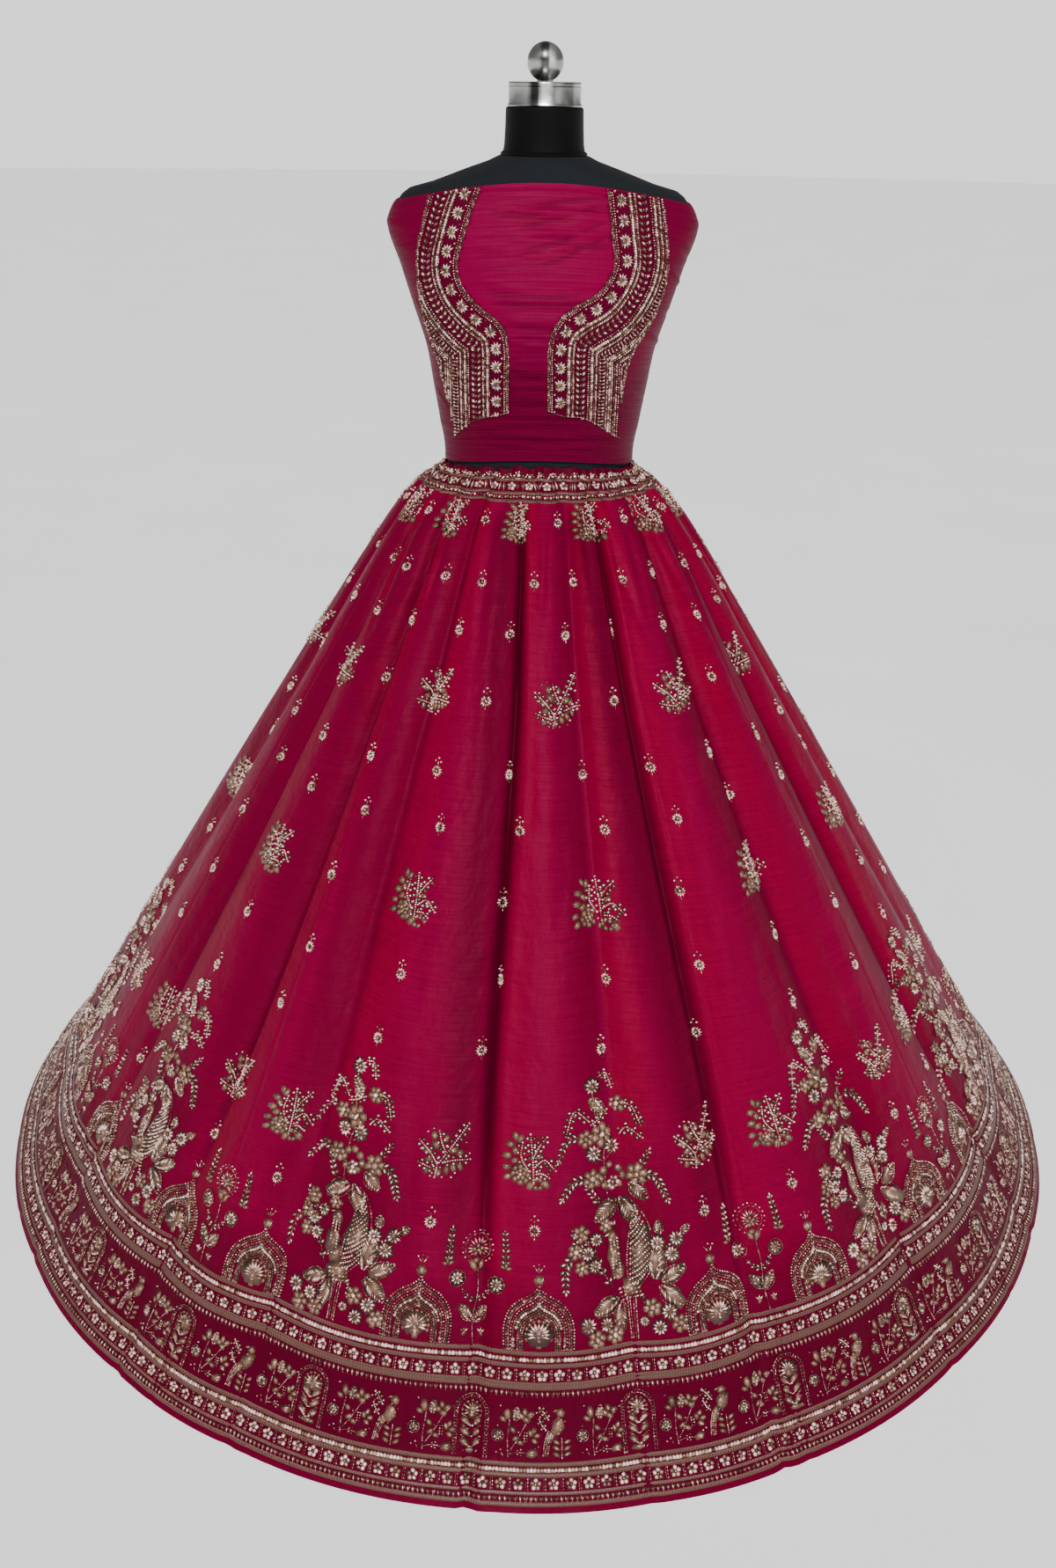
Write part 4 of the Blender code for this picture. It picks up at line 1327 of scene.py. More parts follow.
# A spray of the tree: the points of its stem, its pairs of leaves or beads, their size, and whether it is
# beaded.
TREE_SPRAYS = (
    ((-68, 106), (-78, 94), (-80, 66), 6, 6.4, False),
    ((-44, 196), (-60, 194), (-76, 174), 6, 6.0, False),
    ((28, 196), (42, 190), (54, 162), 7, 6.2, False),
    ((24, 204), (30, 214), (36, 224), 3, 5.2, False),
    ((-48, 246), (-64, 244), (-76, 220), 6, 5.2, False),
    ((2, 240), (12, 250), (28, 240), 4, 5.2, True),
    ((-34, 262), (-52, 278), (-64, 252), 7, 5.0, True),
    ((8, 280), (20, 276), (28, 256), 6, 5.2, True),
    ((-34, 258), (-24, 262), (-12, 270), 4, 4.6, True),
    ((-20, 312), (-8, 314), (-2, 298), 5, 4.8, True),
    ((8, 48), (16, 48), (16, 34), 3, 4.2, False),
    ((-22, 62), (-32, 82), (-40, 104), (-52, 124), 5, 5.2, False),
    ((34, 72), (40, 90), (50, 108), 4, 5.2, False),
    ((-50, 112), (-62, 120), (-66, 136), 3, 5.0, False),
    ((-30, 164), (-38, 176), (-44, 186), 4, 5.6, False),
)
WING_ROWS = 13


def peacock(made):
    """The bird: an oval body, a tall neck at the left and a raised wing of bead rows at the right."""
    for x, y, angle, length, width in ((-4, 57, 12, 30, 24), (-12, 76, 66, 30, 18), (-16, 98, 86, 40, 17),
                                       (-16, 120, 98, 20, 13)):
        made.pad(x, y, angle, length * 1.06, width * 1.08, 0.3)
    made.pad(12, 98, 84, 80, 30, 0.12)
    for step in range(6):
        for row in range(4):
            place = turned(-16, 52, 12, 4 + 4.6 * step, -7 + 4.6 * row)
            made.grain(*place, 20 + 30 * (step % 2), 5.4, 2.8, 0.55 + 0.2 * ((step + row) % 3))
    for step in range(13):
        for side in (-1, 0, 1):
            made.grain(-15 - step * 0.1 + side * 4.4, 74 + 3.7 * step, 96 + side * 34, 5.4, 2.6,
                       0.55 + 0.2 * ((step + side) % 3))
    made.grain(-24, 125, 200, 9, 2.8, 0.75)
    made.bead(-16, 124, 2.8, 0.95)
    made.rays(-15, 132, 5, (70, 90, 110), 7, 1.5, 0.85)
    for row in range(WING_ROWS):
        share = row / (WING_ROWS - 1)
        bottom = 62 + 72 * share
        start = (-2 + 8 * share, bottom)
        middle = (12 + 2 * share, bottom + 7 + 3 * share)
        end = (27 - 14 * (share - 0.35) ** 2 * 2.4, bottom + 20 + 4 * share)
        for x, y, angle in spaced([start, middle, end], 3.5):
            made.grain(x, y, angle + 24, 4.2, 3.2, 0.97)
        beside = [(x, y + rise) for (x, y), rise in zip((start, middle, end), (2.6, 2.8, 2.6))]
        made.cord(beside, 1.3, 0.1)
    made.rope([(-2, 58), (-1, 96), (8, 140), (16, 156)], 1.8, 0.7, 3.2, 4.0)
    made.cord([(8, 58), (24, 78), (31, 104), (28, 134), (16, 158)], 1.5, 0.5)


@motif
def tree(made):
    """A tree in flower with a peacock on it."""
    for side in (-1, 1):
        made.rope([(side * 4, 0), (side * 4.5, 26), (side * 5, 50)], 1.5, 0.75)
        made.cord([(side * 1.6, 0), (side * 2, 50)], 1.1, 0.4)
    peacock(made)
    made.cord([(-16, 150), (-20, 180), (-20, 214), (-16, 236)], 1.3, 0.5, 2.8)
    for tip in ((-31, 218), (-9, 220)):
        made.cord([(-20, 212), tip], 1.2, 0.5)
    made.cord([(-20, 250), (-26, 276), (-28, 296)], 1.2, 0.5, 2.8)
    for x, y, size in TREE_DAISIES:
        made.rosette(x, y, size * 1.14, 0.96)
    for x, y, size in TREE_FLOWERS:
        made.blossom(x, y, size * 1.22, 0.5)
    for x, y, angle, length, width in TREE_LEAVES:
        made.leaf(x, y, angle, length * 1.04, width * 1.12, 0.97)
    for *points, pairs, size, beaded in TREE_SPRAYS:
        if beaded:
            made.berries(points, pairs, size * 0.64, 0.95)
        else:
            made.spray(points, pairs, size * 1.2, 0.95)
    for turn in around(8):
        made.pad(*polar(-12, 192, 13, turn), turn + 90, 12, 10, 0.4)
        made.grain(*polar(-12, 192, 13, turn), turn, 8, 1.6, 0.7)
    for turn in around(7):
        made.sequin(*polar(-10, 184, 6, turn), 6, 0.97)
    made.sequin(-10, 184, 7, 1.0)


# Setting stitches on the cloth


def normals_at(surface, across, along, steps):
    """Unit vectors to the right, up the cloth and out of it, at places on a surface."""
    step_across, step_along = steps
    right = surface(across + step_across, along) - surface(across - step_across, along)
    upwards = surface(across, along + step_along) - surface(across, along - step_along)
    out = np.cross(right, upwards)
    right /= np.linalg.norm(right, axis=1)[:, None]
    out /= np.linalg.norm(out, axis=1)[:, None]
    return right, np.cross(out, right), out


def joined_stitches(kinds, centres, axes, sizes, tones):
    """The points, triangles and tones of all the stitches together."""
    points, faces, values, total = [], [], [], 0
    for kind in (GRAIN, BEAD, SEQUIN, PAD):
        chosen = kinds == kind
        count = int(chosen.sum())
        if not count:
            continue
        shape, triangles = stitch_shape(kind)
        local = shape[None] * sizes[chosen][:, None] / 2
        made = centres[chosen][:, None] + np.einsum("nki,nij->nkj", local, axes[chosen])
        points.append(made.reshape(-1, 3))
        first = total + np.arange(count)[:, None, None] * len(shape)
        faces.append((triangles[None] + first).reshape(-1, 3))
        values.append(np.repeat(tones[chosen], len(shape)))
        total += count * len(shape)
    return np.concatenate(points), np.concatenate(faces), np.concatenate(values)


# How far stitches stand off the cloth, on the padding under them, and how far the padding does, in
# millimetres.
STITCH_LIFT = 0.9
PAD_LIFT = 0.1
# The steps by which a surface's slope is measured, across and up.
SKIRT_STEPS = (0.15, 0.0012)
FACE_STEPS = (0.001, 0.001)


def sew(name, stitches, surface, across, along, steps, slot):
    """Sets stitches on a surface, each in the plane of the cloth under it, as one piece."""
    random = np.random.default_rng(STITCH_SEED)
    kinds, _, _, angle, length, width, height, tone = np.array(stitches, float).T
    kinds = kinds.astype(int)
    right, upwards, out = normals_at(surface, across, along, steps)
    tilt = random.normal(0, 0.11, (len(kinds), 2)) * np.where(kinds == SEQUIN, 2.2, 0.6)[:, None]
    out = out + tilt[:, :1] * right + tilt[:, 1:] * upwards
    out /= np.linalg.norm(out, axis=1)[:, None]
    ahead = np.cos(np.radians(angle))[:, None] * right + np.sin(np.radians(angle))[:, None] * upwards
    ahead -= (ahead * out).sum(axis=1)[:, None] * out
    ahead /= np.linalg.norm(ahead, axis=1)[:, None]
    axes = np.stack([ahead, np.cross(out, ahead), out], axis=1)
    sizes = np.stack([length, width, height], axis=1) * (settings().cloth.stitch_size * MM)
    lift = np.where(kinds == PAD, PAD_LIFT, STITCH_LIFT)[:, None] * MM
    centres = surface(across, along) + out * (sizes[:, 2:] * 0.3 + lift)
    tones = np.clip(0.86 * tone + random.normal(0, 1, len(kinds)) * np.where(kinds == PAD, 0.06, 0.3), 0, 1)
    points, faces, values = joined_stitches(kinds, centres, axes, sizes, tones)
    mesh = bpy.data.meshes.new(name)
    mesh.from_pydata(points, [], faces)
    piece = as_piece(name, mesh, zari())
    mark(piece, "tone", values)


# A motif on the skirt: its azimuth, how far up it starts, its size, and whether it spreads over several
# folds, so that it follows the skirt's round instead of one fold's own slope.
Placed = namedtuple("Placed", "motif azimuth up size wide")


def stretch_at(azimuth, up):
    """The cloth's length for each radian of azimuth, on the slope of the fold there."""
    step = 0.25
    moved = skirt_surface(azimuth + step, up) - skirt_surface(azimuth - step, up)
    return np.linalg.norm(moved, axis=1) / radians(2 * step)


def sew_on_skirt(name, placed):
    """Sets motifs on the skirt, all as one piece."""
    centres = np.array([(one.azimuth, one.up) for one in placed])
    stitches, across, along = [], [], []
    for one, stretch in zip(placed, stretch_at(*centres.T)):
        table = np.array(one.motif.stitches, float)
        up = one.up + table[:, 2] * one.size * MM
        radius = radius_at(up) if one.wide else stretch
        across.append(one.azimuth + np.degrees(table[:, 1] * one.size * MM / radius))
        along.append(up)
        table[:, 4:7] *= one.size
        stitches.append(table)
    places = np.concatenate(across), np.concatenate(along)
    sew(name, np.concatenate(stitches), skirt_surface, *places, SKIRT_STEPS, "skirt_silk")


def ring_of(motif, up, pitch):
    """The same small motif all round the skirt at an even pitch."""
    count = int(round(2 * pi * float(radius_at(up)) / (pitch * MM)))
    return [Placed(motif, FIRST_SEAM_DEG + index * 360 / count, up, 1.0, False) for index in range(count)]


def lace_ring(name, up, width, columns=720):
    """A strip of chain lace round the skirt, standing a little above it in its middle."""
    made, across, along = grid_shares(columns, 2)
    azimuth = 360 * across
    place = up + (along - 0.5) * width
    out = normals_at(skirt_surface, azimuth, place, SKIRT_STEPS)[2]
    lift = np.where(np.abs(along - 0.5) < 0.25, settings().cloth.lace_height, 0.15 * MM)
    flat = np.stack([across * (2 * pi * float(radius_at(up))), along], axis=1)
    lay_cloth(made, skirt_surface(azimuth, place) + out * lift[:, None], flat)
    bmesh.ops.remove_doubles(made, verts=made.verts, dist=0.02 * MM)
    new_piece(name, made, lace())


@motif
def square_flower(made):
    """One square of a border: a flower, and beside it a cord and a broken line of beads."""
    made.flower(0, 0, 14.5, 0.92)
    made.cord([(9.4, -7), (9.4, 7)], 0.9, 0.35, 2.8)
    for y in (-5.6, -1.9, 1.9, 5.6):
        made.grain(11.6, y, 90, 3.4, 1.3, 0.85)


@motif
def drop(made):
    """One bugle of the drop fringe, with its loop of thread."""
    for grain in ((0, 0, 97, 6.6, 1.8, 0.88), (1.7, 0.6, 84, 5.6, 0.9, 0.34),
                  (-1.5, 0.6, 96, 5.6, 0.9, 0.3), (0.2, -3.2, 0, 2.6, 0.9, 0.34)):
        made.grain(*grain)


@motif
def single_sequin(made):
    made.sequin(0, 0, 6.4, 0.92)


# The rows of the two borders, in millimetres up from the hem.
LOWER_BORDER = {"lace": (10.0, 22.5, 41.4, 53.4), "drops": 16.2, "flowers": 32.0, "sequins": 47.4}
UPPER_BORDER = {"lace": (140.8, 145.0, 166.2, 180.6), "drops": 134.2, "flowers": 155.4, "sequins": 173.4}
LACE_WIDTH = 4.6 * MM
FLOWER_PITCH = 21.0
DROP_PITCH = 6.1
SEQUIN_PITCH = 4.1


def sew_border(name, rows):
    for index, up in enumerate(rows["lace"]):
        lace_ring(f"{name}_lace_{index + 1}", up * MM, LACE_WIDTH)
    placed = ring_of(square_flower(), rows["flowers"] * MM, FLOWER_PITCH)
    placed += ring_of(drop(), rows["drops"] * MM, DROP_PITCH)
    placed += ring_of(single_sequin(), rows["sequins"] * MM, SEQUIN_PITCH)
    sew_on_skirt(f"{name}_stitches", placed)


def round_skirt(motif, up, offsets, size=1.0, wide=True):
    """A motif in every panel, at offsets in degrees from the panel's seam."""
    return [
        Placed(motif, FIRST_SEAM_DEG + KALI_DEG * panel + offset, up, size, wide)
        for panel in range(KALI_COUNT)
        for offset in offsets
    ]


NICHE_UP = 0.058
NICHE_OFFSETS = (0.2, 15.2)
BIRD_OFFSETS = (7.8, 22.8)
SPRAY_OFFSETS = (4.0, 11.5, 19.0, 26.5)
ARCH_UP = 0.184
ARCH_OFFSETS = (-5.8, 6.2)
PLANT_OFFSET = -0.2
TREE_UP = 0.186

# Rows of scattered motifs: how far up each is, its offsets from each seam, and the motifs' size.
SMALL_BUTTIS = (
    (0.325, (-5.5, 5.7), 1.05), (0.530, (-1.5, 14.5), 1.0), (0.615, (0.5, 16.0), 1.0), (0.710, (0.0,), 1.05),
    (0.803, (2.5, 18.0), 1.0), (0.870, (-0.4, 15.0), 1.0), (0.965, (23.5,), 1.0), (1.050, (13.0, 27.5), 0.95),
    (1.118, (4.0, 17.0), 0.92), (1.200, (13.0,), 0.9),
)
SPRIGS = ((0.408, (-5.0,), 1.0), (0.965, (10.0,), 0.98))
ROSE_SPRIGS = ((0.408, (5.0,), 1.0), (0.710, (15.5,), 1.0), (1.200, (-3.5,), 0.86))


def scattered(motif, rows):
    return [placed for up, offsets, size in rows for placed in round_skirt(motif, up, offsets, size, False)]


@motif
def waist_square(made):
    """One square of the waistband: a flower between two columns of beads."""
    made.flower(0, 0, 13.0, 0.98)
    for x in (-9.0, 9.0):
        made.grain(x - 1.1, 0, 90, 14, 1.7, 0.9)
        made.grain(x + 1.1, 0, 90, 14, 1.4, 0.2)


@motif
def waist_scallop(made):
    """One scallop of beads and sequins at the top of the waistband."""
    for index, turn in enumerate(swept(10, 170, 5)):
        made.bead(*polar(0, -2.5, 5.2, turn), 3.4, 0.6 + 0.08 * index)
    made.sequin(0, -1.2, 5.2, 0.98)
    made.bead(-6.2, -3.6, 3.6, 0.97)
    made.grain(0, -5.6, 0, 13, 1.8, 0.3)


@motif
def waist_bead(made):
    made.sequin(0, 0, 4.4, 0.95)
    made.bead(3.6, 0.8, 2.6, 0.7)
    made.bead(3.4, -1.6, 2.2, 0.4)


# The blouse's two embroidered bands, seen from the front: their inner edge, outer edge and slanting foot, in
# millimetres from the centre and from the floor.
Band = namedtuple("Band", "side inner outer foot")
BANDS = (
    Band(
        -1,
        ((-72, 1408), (-76, 1394), (-88, 1364), (-96.4, 1338), (-103.8, 1305.5), (-96, 1281), (-76, 1261),
         (-56, 1247.5), (-44, 1232.5), (-39.8, 1210), (-39.8, 1172), (-39.8, 1130), (-39.8, 1080)),
        ((-139, 1400), (-141, 1383), (-150, 1346), (-155.6, 1320), (-155, 1276), (-150, 1240), (-139, 1208),
         (-130, 1180), (-121, 1139), (-114, 1080)),
        ((-125, 1082), (-113, 1088), (-86, 1116), (-39.8, 1131.5)),
    ),
    Band(
        1,
        ((76, 1408), (77, 1397), (82, 1365), (84.6, 1341), (87.5, 1309), (71, 1281), (44, 1265), (24, 1251),
         (12, 1232), (8.3, 1208), (9, 1172), (9.6, 1130), (9.6, 1080)),
        ((144, 1400), (146, 1388), (153, 1346), (156, 1315), (153, 1277), (138, 1240), (117, 1208),
         (107, 1175), (105, 1140), (103, 1080)),
        ((9.6, 1135), (31, 1128), (60, 1123), (103, 1093), (115, 1088)),
    ),
)
BAND_TOP = 1397.0
# A row of a band: how far it lies from the inner edge, in millimetres, how it is stitched, its thickness,
# its pitch and its tone.
BAND_ROWS = (
    (0.6, "cord", 1.5, 3.4, 0.4), (2.0, "rope", 1.3, 2.3, 0.5), (3.4, "cord", 1.4, 3.4, 0.35),
    (5.6, "beads", 2.2, 2.9, 0.93), (24.4, "cord", 1.4, 3.4, 0.2), (26.8, "sequins", 4.4, 2.9, 0.9),
    (30.0, "cord", 1.3, 3.4, 0.15), (32.2, "rope", 1.9, 2.7, 0.86), (51.0, "beads", 2.2, 3.0, 0.8),
    (53.2, "cord", 1.3, 3.4, 0.15), (55.6, "sequins", 4.4, 2.9, 0.88), (58.6, "cord", 1.3, 3.4, 0.2),
    (61.2, "rope", 2.0, 2.7, 0.86), (64.4, "cord", 1.3, 3.4, 0.2), (72.6, "cord", 1.3, 3.4, 0.2),
    (75.2, "rope", 1.8, 2.7, 0.8), (78.4, "sequins", 4.2, 2.9, 0.8), (81.4, "rope", 1.8, 2.7, 0.82),
    (84.6, "cord", 1.4, 3.4, 0.3), (87.4, "rope", 1.8, 2.7, 0.8), (90.4, "beads", 2.2, 3.0, 0.75),
    (93.6, "rope", 1.8, 2.7, 0.8), (96.8, "cord", 1.4, 3.4, 0.3), (99.6, "rope", 1.8, 2.7, 0.8),
    (102.4, "beads", 2.2, 3.0, 0.7),
)
FLOWER_ROW = 15.4
LEAF_ROWS = ((41.4, 1.0), (68.4, 0.62))
OUTER_MARGIN = 2.4
# How dark the blouse is painted under its bands, partly their dark ground and partly painted shade.
BAND_SHADE = 0.85


def parallel(band, place):
    """A line beside a band's inner edge, cut where it would run into another part of itself."""
    line = smooth_path(band.inner)
    ahead = np.gradient(line, axis=0)
    ahead /= np.linalg.norm(ahead, axis=1)[:, None]
    moved = line + np.stack([ahead[:, 1], -ahead[:, 0]], axis=1) * -band.side * place
    gaps = np.linalg.norm(moved[:, None] - line[None], axis=2).min(axis=1)
    return moved[gaps > place - 0.5][::2]


def within_band(band, x, y, margin=OUTER_MARGIN):
    """Whether a stitch lies between the blouse's upper edge, the band's outer edge and its slanting foot."""
    outer = smooth_path(band.outer)[::-1]
    room = band.side * (np.interp(y, outer[:, 1], outer[:, 0]) - x)
    foot = np.interp(x, *np.array(band.foot, float).T)
    return room > margin and foot < y < BAND_TOP - 24 * (x / 190) ** 2


def choli_band(band):
    """All the rows of one band, from the inner edge out, and the line of its outer edge and foot."""
    made = Motif()
    for place, way, thickness, pitch, tone in BAND_ROWS:
        made.row(way, parallel(band, place), thickness, pitch, tone, thickness * 2.3)
    for index, (x, y, angle) in enumerate(spaced(parallel(band, FLOWER_ROW), 11.4)):
        if index % 2:
            made.bead(*turned(x, y, angle, 0, band.side * -6.4), 3.2, 0.85)
        else:
            band_flower(made, x, y, angle, band.side)
    for place, size in LEAF_ROWS:
        for x, y, angle in spaced(parallel(band, place), 7.4 * size):
            for way in (-1, 1):
                spot = turned(x, y, angle, 0, way * 3.7 * size)
                made.pad(*spot, angle + 180 - way * 40, 7.6 * size, 4.4 * size, 0.14)
                made.grain(*spot, angle + 180 - way * 40, 5.8 * size, 2.9 * size, 0.88)
            made.bead(x, y, 1.9, 0.7)
    made.stitches = [stitch for stitch in made.stitches if within_band(band, stitch.x, stitch.y)]
    edge = [point for point in band.outer[1:-1] if point[1] < 1392]
    foot = [point for point in band.foot if 8 < abs(point[0]) < 116]
    sides = Motif()
    sides.rope([(x - band.side * 1.2, y) for x, y in edge], 1.8, 0.7, 2.7, 4.0)
    sides.cord([(x + band.side * 0.6, y) for x, y in edge], 1.4, 0.3)
    sides.cord(foot, 1.6, 0.45)
    made.stitches += [one for one in sides.stitches if within_band(band, one.x, one.y + 1, -3)]
    return made


def choli_shade(azimuth, share):
    """Painted shade for the blouse: in its creases, on its sides and towards its lower edge, and under its
    bands, where it is partly their dark ground.
    """
    x, y, z = choli_surface(azimuth, share).T
    front = y < 0
    # Painted shade in the creases, towards the lower edge and on the sides.
    shade = np.clip(-pulls(x, z, front) / (2.2 * MM), 0, 0.5)
    shade = np.maximum(shade, 0.6 * ramp(1.27 - z, 0.11))
    shade = np.maximum(shade, 0.45 * ramp(np.abs(x) - 0.11, 0.04))
    # Painted shade under the bands, partly their dark ground.
    for band in BANDS:
        line = smooth_path(band.inner)
        inner = np.interp(z / MM, line[::-1, 1], line[::-1, 0])
        beyond = band.side * (x / MM - inner) > 0
        for index in np.flatnonzero(front & beyond):
            if within_band(band, x[index] / MM, z[index] / MM, 0):
                shade[index] = max(shade[index], BAND_SHADE)
    return shade


def band_flower(made, x, y, angle, side):
    """A shell of bugles round a small heart that points at the blouse's inner edge."""
    ahead = angle + side * 90
    made.pad(x, y, 0, 13, 13, 0.1)
    made.rays(x, y, 5.2, [ahead - 135 + 30 * index for index in range(10)], 7.6, 2.5, 0.97)
    made.bead(*polar(x, y, 2.0, ahead + 180), 3.6, 0.9)


def sew_on_choli(name, motif):
    table = np.array(motif.stitches, float)
    places = table[:, 1] * MM, table[:, 2] * MM
    sew(name, table, choli_face, *places, FACE_STEPS, "choli_silk")


# The form and its metal


def form_columns():
    """Azimuths round the form, with close ones on both sides of each seam."""
    plain = [step * 5.0 - 180 for step in range(72)]
    seams = [seam + beside for seam in FORM_SEAMS_DEG for beside in (-0.8, 0.0, 0.8)]
    far = [azimuth for azimuth in plain if min(abs(wrapped(azimuth - seam)) for seam in FORM_SEAMS_DEG) > 1.5]
    azimuths = sorted({wrapped(azimuth) for azimuth in (*far, *seams)})
    return np.array([*azimuths, azimuths[0] + 360])


def form_sections(azimuth):
    """The form's sections from the hips to the foot of the neck."""
    sideways = np.sin(np.radians(azimuth)) ** 2

    def own(ring):
        height = ring.height - ring.side_drop * sideways
        return section(azimuth, height, ring.half_width, ring.front, ring.back, ring.power)

    hips = [own(ring) for ring in FORM_HIP_RINGS]
    body = [choli_at(azimuth, choli_height(azimuth, share), 1.0) for share in np.linspace(0, 1, 36)]
    return np.array([*hips, *body, *(own(ring) for ring in FORM_SHOULDER_RINGS)])


def make_form():
    azimuth = form_columns()
    sections = form_sections(azimuth)
    nearest = np.min([np.abs(wrapped(azimuth - seam)) for seam in FORM_SEAMS_DEG], axis=0)
    groove = 1 - 0.006 * (nearest < 0.1)
    sections[..., :2] *= groove[:, None]
    rows, columns = len(sections) - 1, len(azimuth) - 1
    made, across, along = grid_shares(columns, rows)
    chosen = sections[np.rint(along * rows).astype(int), np.rint(across * columns).astype(int)]
    for vertex, point in zip(made.verts, chosen):
        vertex.co = point
    bmesh.ops.remove_doubles(made, verts=made.verts, dist=0.01 * MM)
    bmesh.ops.holes_fill(made, edges=[edge for edge in made.edges if edge.is_boundary])
    bmesh.ops.recalc_face_normals(made, faces=made.faces)
    jersey = finish_of("charcoal_jersey", jersey_finish, settings().colours.jersey, 0.8)
    new_piece("form_body", made, jersey, ["form_torso"])


def turned_piece(name, profile, finish, replaces):
    """A profile, from the axis at its top to the axis below, turned round the form's axis."""
    made = bmesh.new()
    points = [made.verts.new((radius, 0, height)) for radius, height in profile]
    edges = [made.edges.new(pair) for pair in zip(points, points[1:])]
    bmesh.ops.spin(made, geom=[*points, *edges], axis=(0, 0, 1), cent=(0, 0, 0), steps=96,
                   angle=2 * pi, use_merge=True)
    bmesh.ops.remove_doubles(made, verts=made.verts, dist=0.01 * MM)
    bmesh.ops.recalc_face_normals(made, faces=made.faces)
    piece = new_piece(name, made, finish, replaces)
    piece.data.set_sharp_from_angle(angle=radians(35))


def rounded_rim(radius, height, edge, up=1):
    """A quarter round between the side of a turned piece and its flat top, or its foot with -1 for up."""
    corner = []
    for step in range(6):
        turn = pi / 2 * step / 5
        out, rise = (sin(turn), cos(turn)) if up > 0 else (cos(turn), sin(turn))
        corner.append((radius - edge + edge * out, height - up * edge + up * edge * rise))
    return corner


def make_neck():
    """The neck's cover, with a narrow welt round its foot."""
    low = NECK_BASE + SEAM_GAP
    foot = NECK_PROFILE[0][0]
    side = [(radius, low + z) for radius, z in reversed(NECK_PROFILE[1:-1])]
    top = rounded_rim(NECK_PROFILE[-1][0], NECK_TOP, NECK_ROUND)
    welt = [(foot + NECK_WELT, low + 0.0022), (foot + NECK_WELT, low + 0.0008)]
    finish = finish_of("black_neck", jersey_finish, settings().colours.neck, 0.6)
    profile = [(0, NECK_TOP), *top, *side, *welt, (foot, low), (0, low)]
    turned_piece("form_neck_cover", profile, finish, ["form_neck"])


def make_cap():
    """The steel cap, with a raised lip at its foot and a shallow line under its top."""
    low, high = NECK_TOP + 2 * SEAM_GAP, CAP_TOP
    line = high - CAP_LINE_DOWN
    profile = [
        (0, high),
        *rounded_rim(CAP_RADIUS, high, CAP_ROUND),
        (CAP_RADIUS, line + CAP_LINE_DEPTH),
        (CAP_RADIUS - CAP_LINE_DEPTH, line),
        (CAP_RADIUS, line - CAP_LINE_DEPTH),
        (CAP_RADIUS, low + CAP_LIP_HEIGHT),
        *rounded_rim(CAP_RADIUS + CAP_LIP, low, CAP_LIP, -1),
        (0, low),
    ]
    steel = finish_of("polished_steel", steel_finish, settings().colours.steel, 0.3, CAP_REFLECTIONS)
    turned_piece("neck_cap_steel", profile, steel, ["neck_cap"])


def make_ball():
    """The ball, on a short stem with a small collar."""
    foot = CAP_TOP + SEAM_GAP
    lowest = asin(BALL_STEM_RADIUS / BALL_RADIUS)
    angles = np.linspace(0, pi - lowest, 28)
    ball = [(BALL_RADIUS * sin(a), BALL_CENTRE + BALL_RADIUS * cos(a)) for a in angles]
    collar = [(BALL_COLLAR_RADIUS, foot + BALL_COLLAR_HEIGHT), (BALL_COLLAR_RADIUS, foot)]
    profile = [(0, ball[0][1]), *ball[1:], *collar, (0, foot)]
    steel = finish_of("ball_steel", steel_finish, settings().colours.steel, 0.3, BALL_REFLECTIONS)
    turned_piece("cap_ball_steel", profile, steel, ["cap_ball"])


def floor_finish():
    finish = Finish("pale_floor", 0.5)
    clouds = finish.noise(finish.coordinates(), 1.6, 4.0)
    colour = rgba(settings().colours.floor)
    base = finish.shaded(colour, finish.between(clouds, 0.3, 0.7, 0.965, 1.02))
    finish.level(Base_Color=base, Emission_Color=colour, Emission_Strength=0.32)
    return finish.material


def soft_light(name, kind, strength, place, aim, size):
    """A light that is soft because it is wide: a sun of some degrees, or a square of some metres."""
    light = bpy.data.lights.new(name, kind)
    light.energy = strength
    if kind == "SUN":
        light.angle = radians(size)
    else:
        light.size = size
    lamp = placed_object(name, light)
    lamp.location = place
    lamp.rotation_euler = (Vector(aim) - Vector(place)).to_track_quat("-Z", "Y").to_euler()


# The room's colour up to a little above the floor's level and from there up, and where it changes between.
ROOM_LOW = (6.1, 6.12, 6.12, 1)
ROOM_HIGH = (1.0, 1.0, 1.0, 1)
ROOM_CHANGE = (0.055, 0.12)


def room_world(strength):
    """Light from all round, as bright as the floor at its own level, so that the floor has no edge."""
    world = bpy.data.worlds.new("studio")
    world.use_nodes = True
    tree = world.node_tree
    sky = tree.nodes["Background"]
    place = tree.nodes.new("ShaderNodeTexCoord")
    split = tree.nodes.new("ShaderNodeSeparateXYZ")
    levels = tree.nodes.new("ShaderNodeValToRGB")
    for stop, colour, place_up in zip(levels.color_ramp.elements, (ROOM_LOW, ROOM_HIGH), ROOM_CHANGE):
        stop.color = colour
        stop.position = place_up
    tree.links.new(place.outputs["Generated"], split.inputs[0])
    tree.links.new(split.outputs["Z"], levels.inputs[0])
    tree.links.new(levels.outputs[0], sky.inputs[0])
    sky.inputs[1].default_value = strength
    bpy.context.scene.world = world


CAMERA_SIDE = -0.008
SENSOR_MM = 36.0
# The photograph's height and its focal length, both in its own pixels.
PHOTO_HEIGHT_PX = 1782
FOCAL_PX = 1600


def photo_camera(stage):
    """The camera, at the photograph's height, pitch and slight roll."""
    data = bpy.data.cameras.new("photo_view")
    data.lens = SENSOR_MM * FOCAL_PX / PHOTO_HEIGHT_PX
    data.sensor_width = SENSOR_MM
    data.clip_start = 0.05
    camera = placed_object("photo_view", data)
    place = Matrix.Translation((CAMERA_SIDE, -stage.camera_distance, stage.camera_height))
    look = Matrix.Rotation(pi / 2 - stage.camera_pitch, 4, "X")
    camera.matrix_world = place @ look @ Matrix.Rotation(stage.camera_roll, 4, "Z")
    bpy.context.scene.camera = camera


# Operators


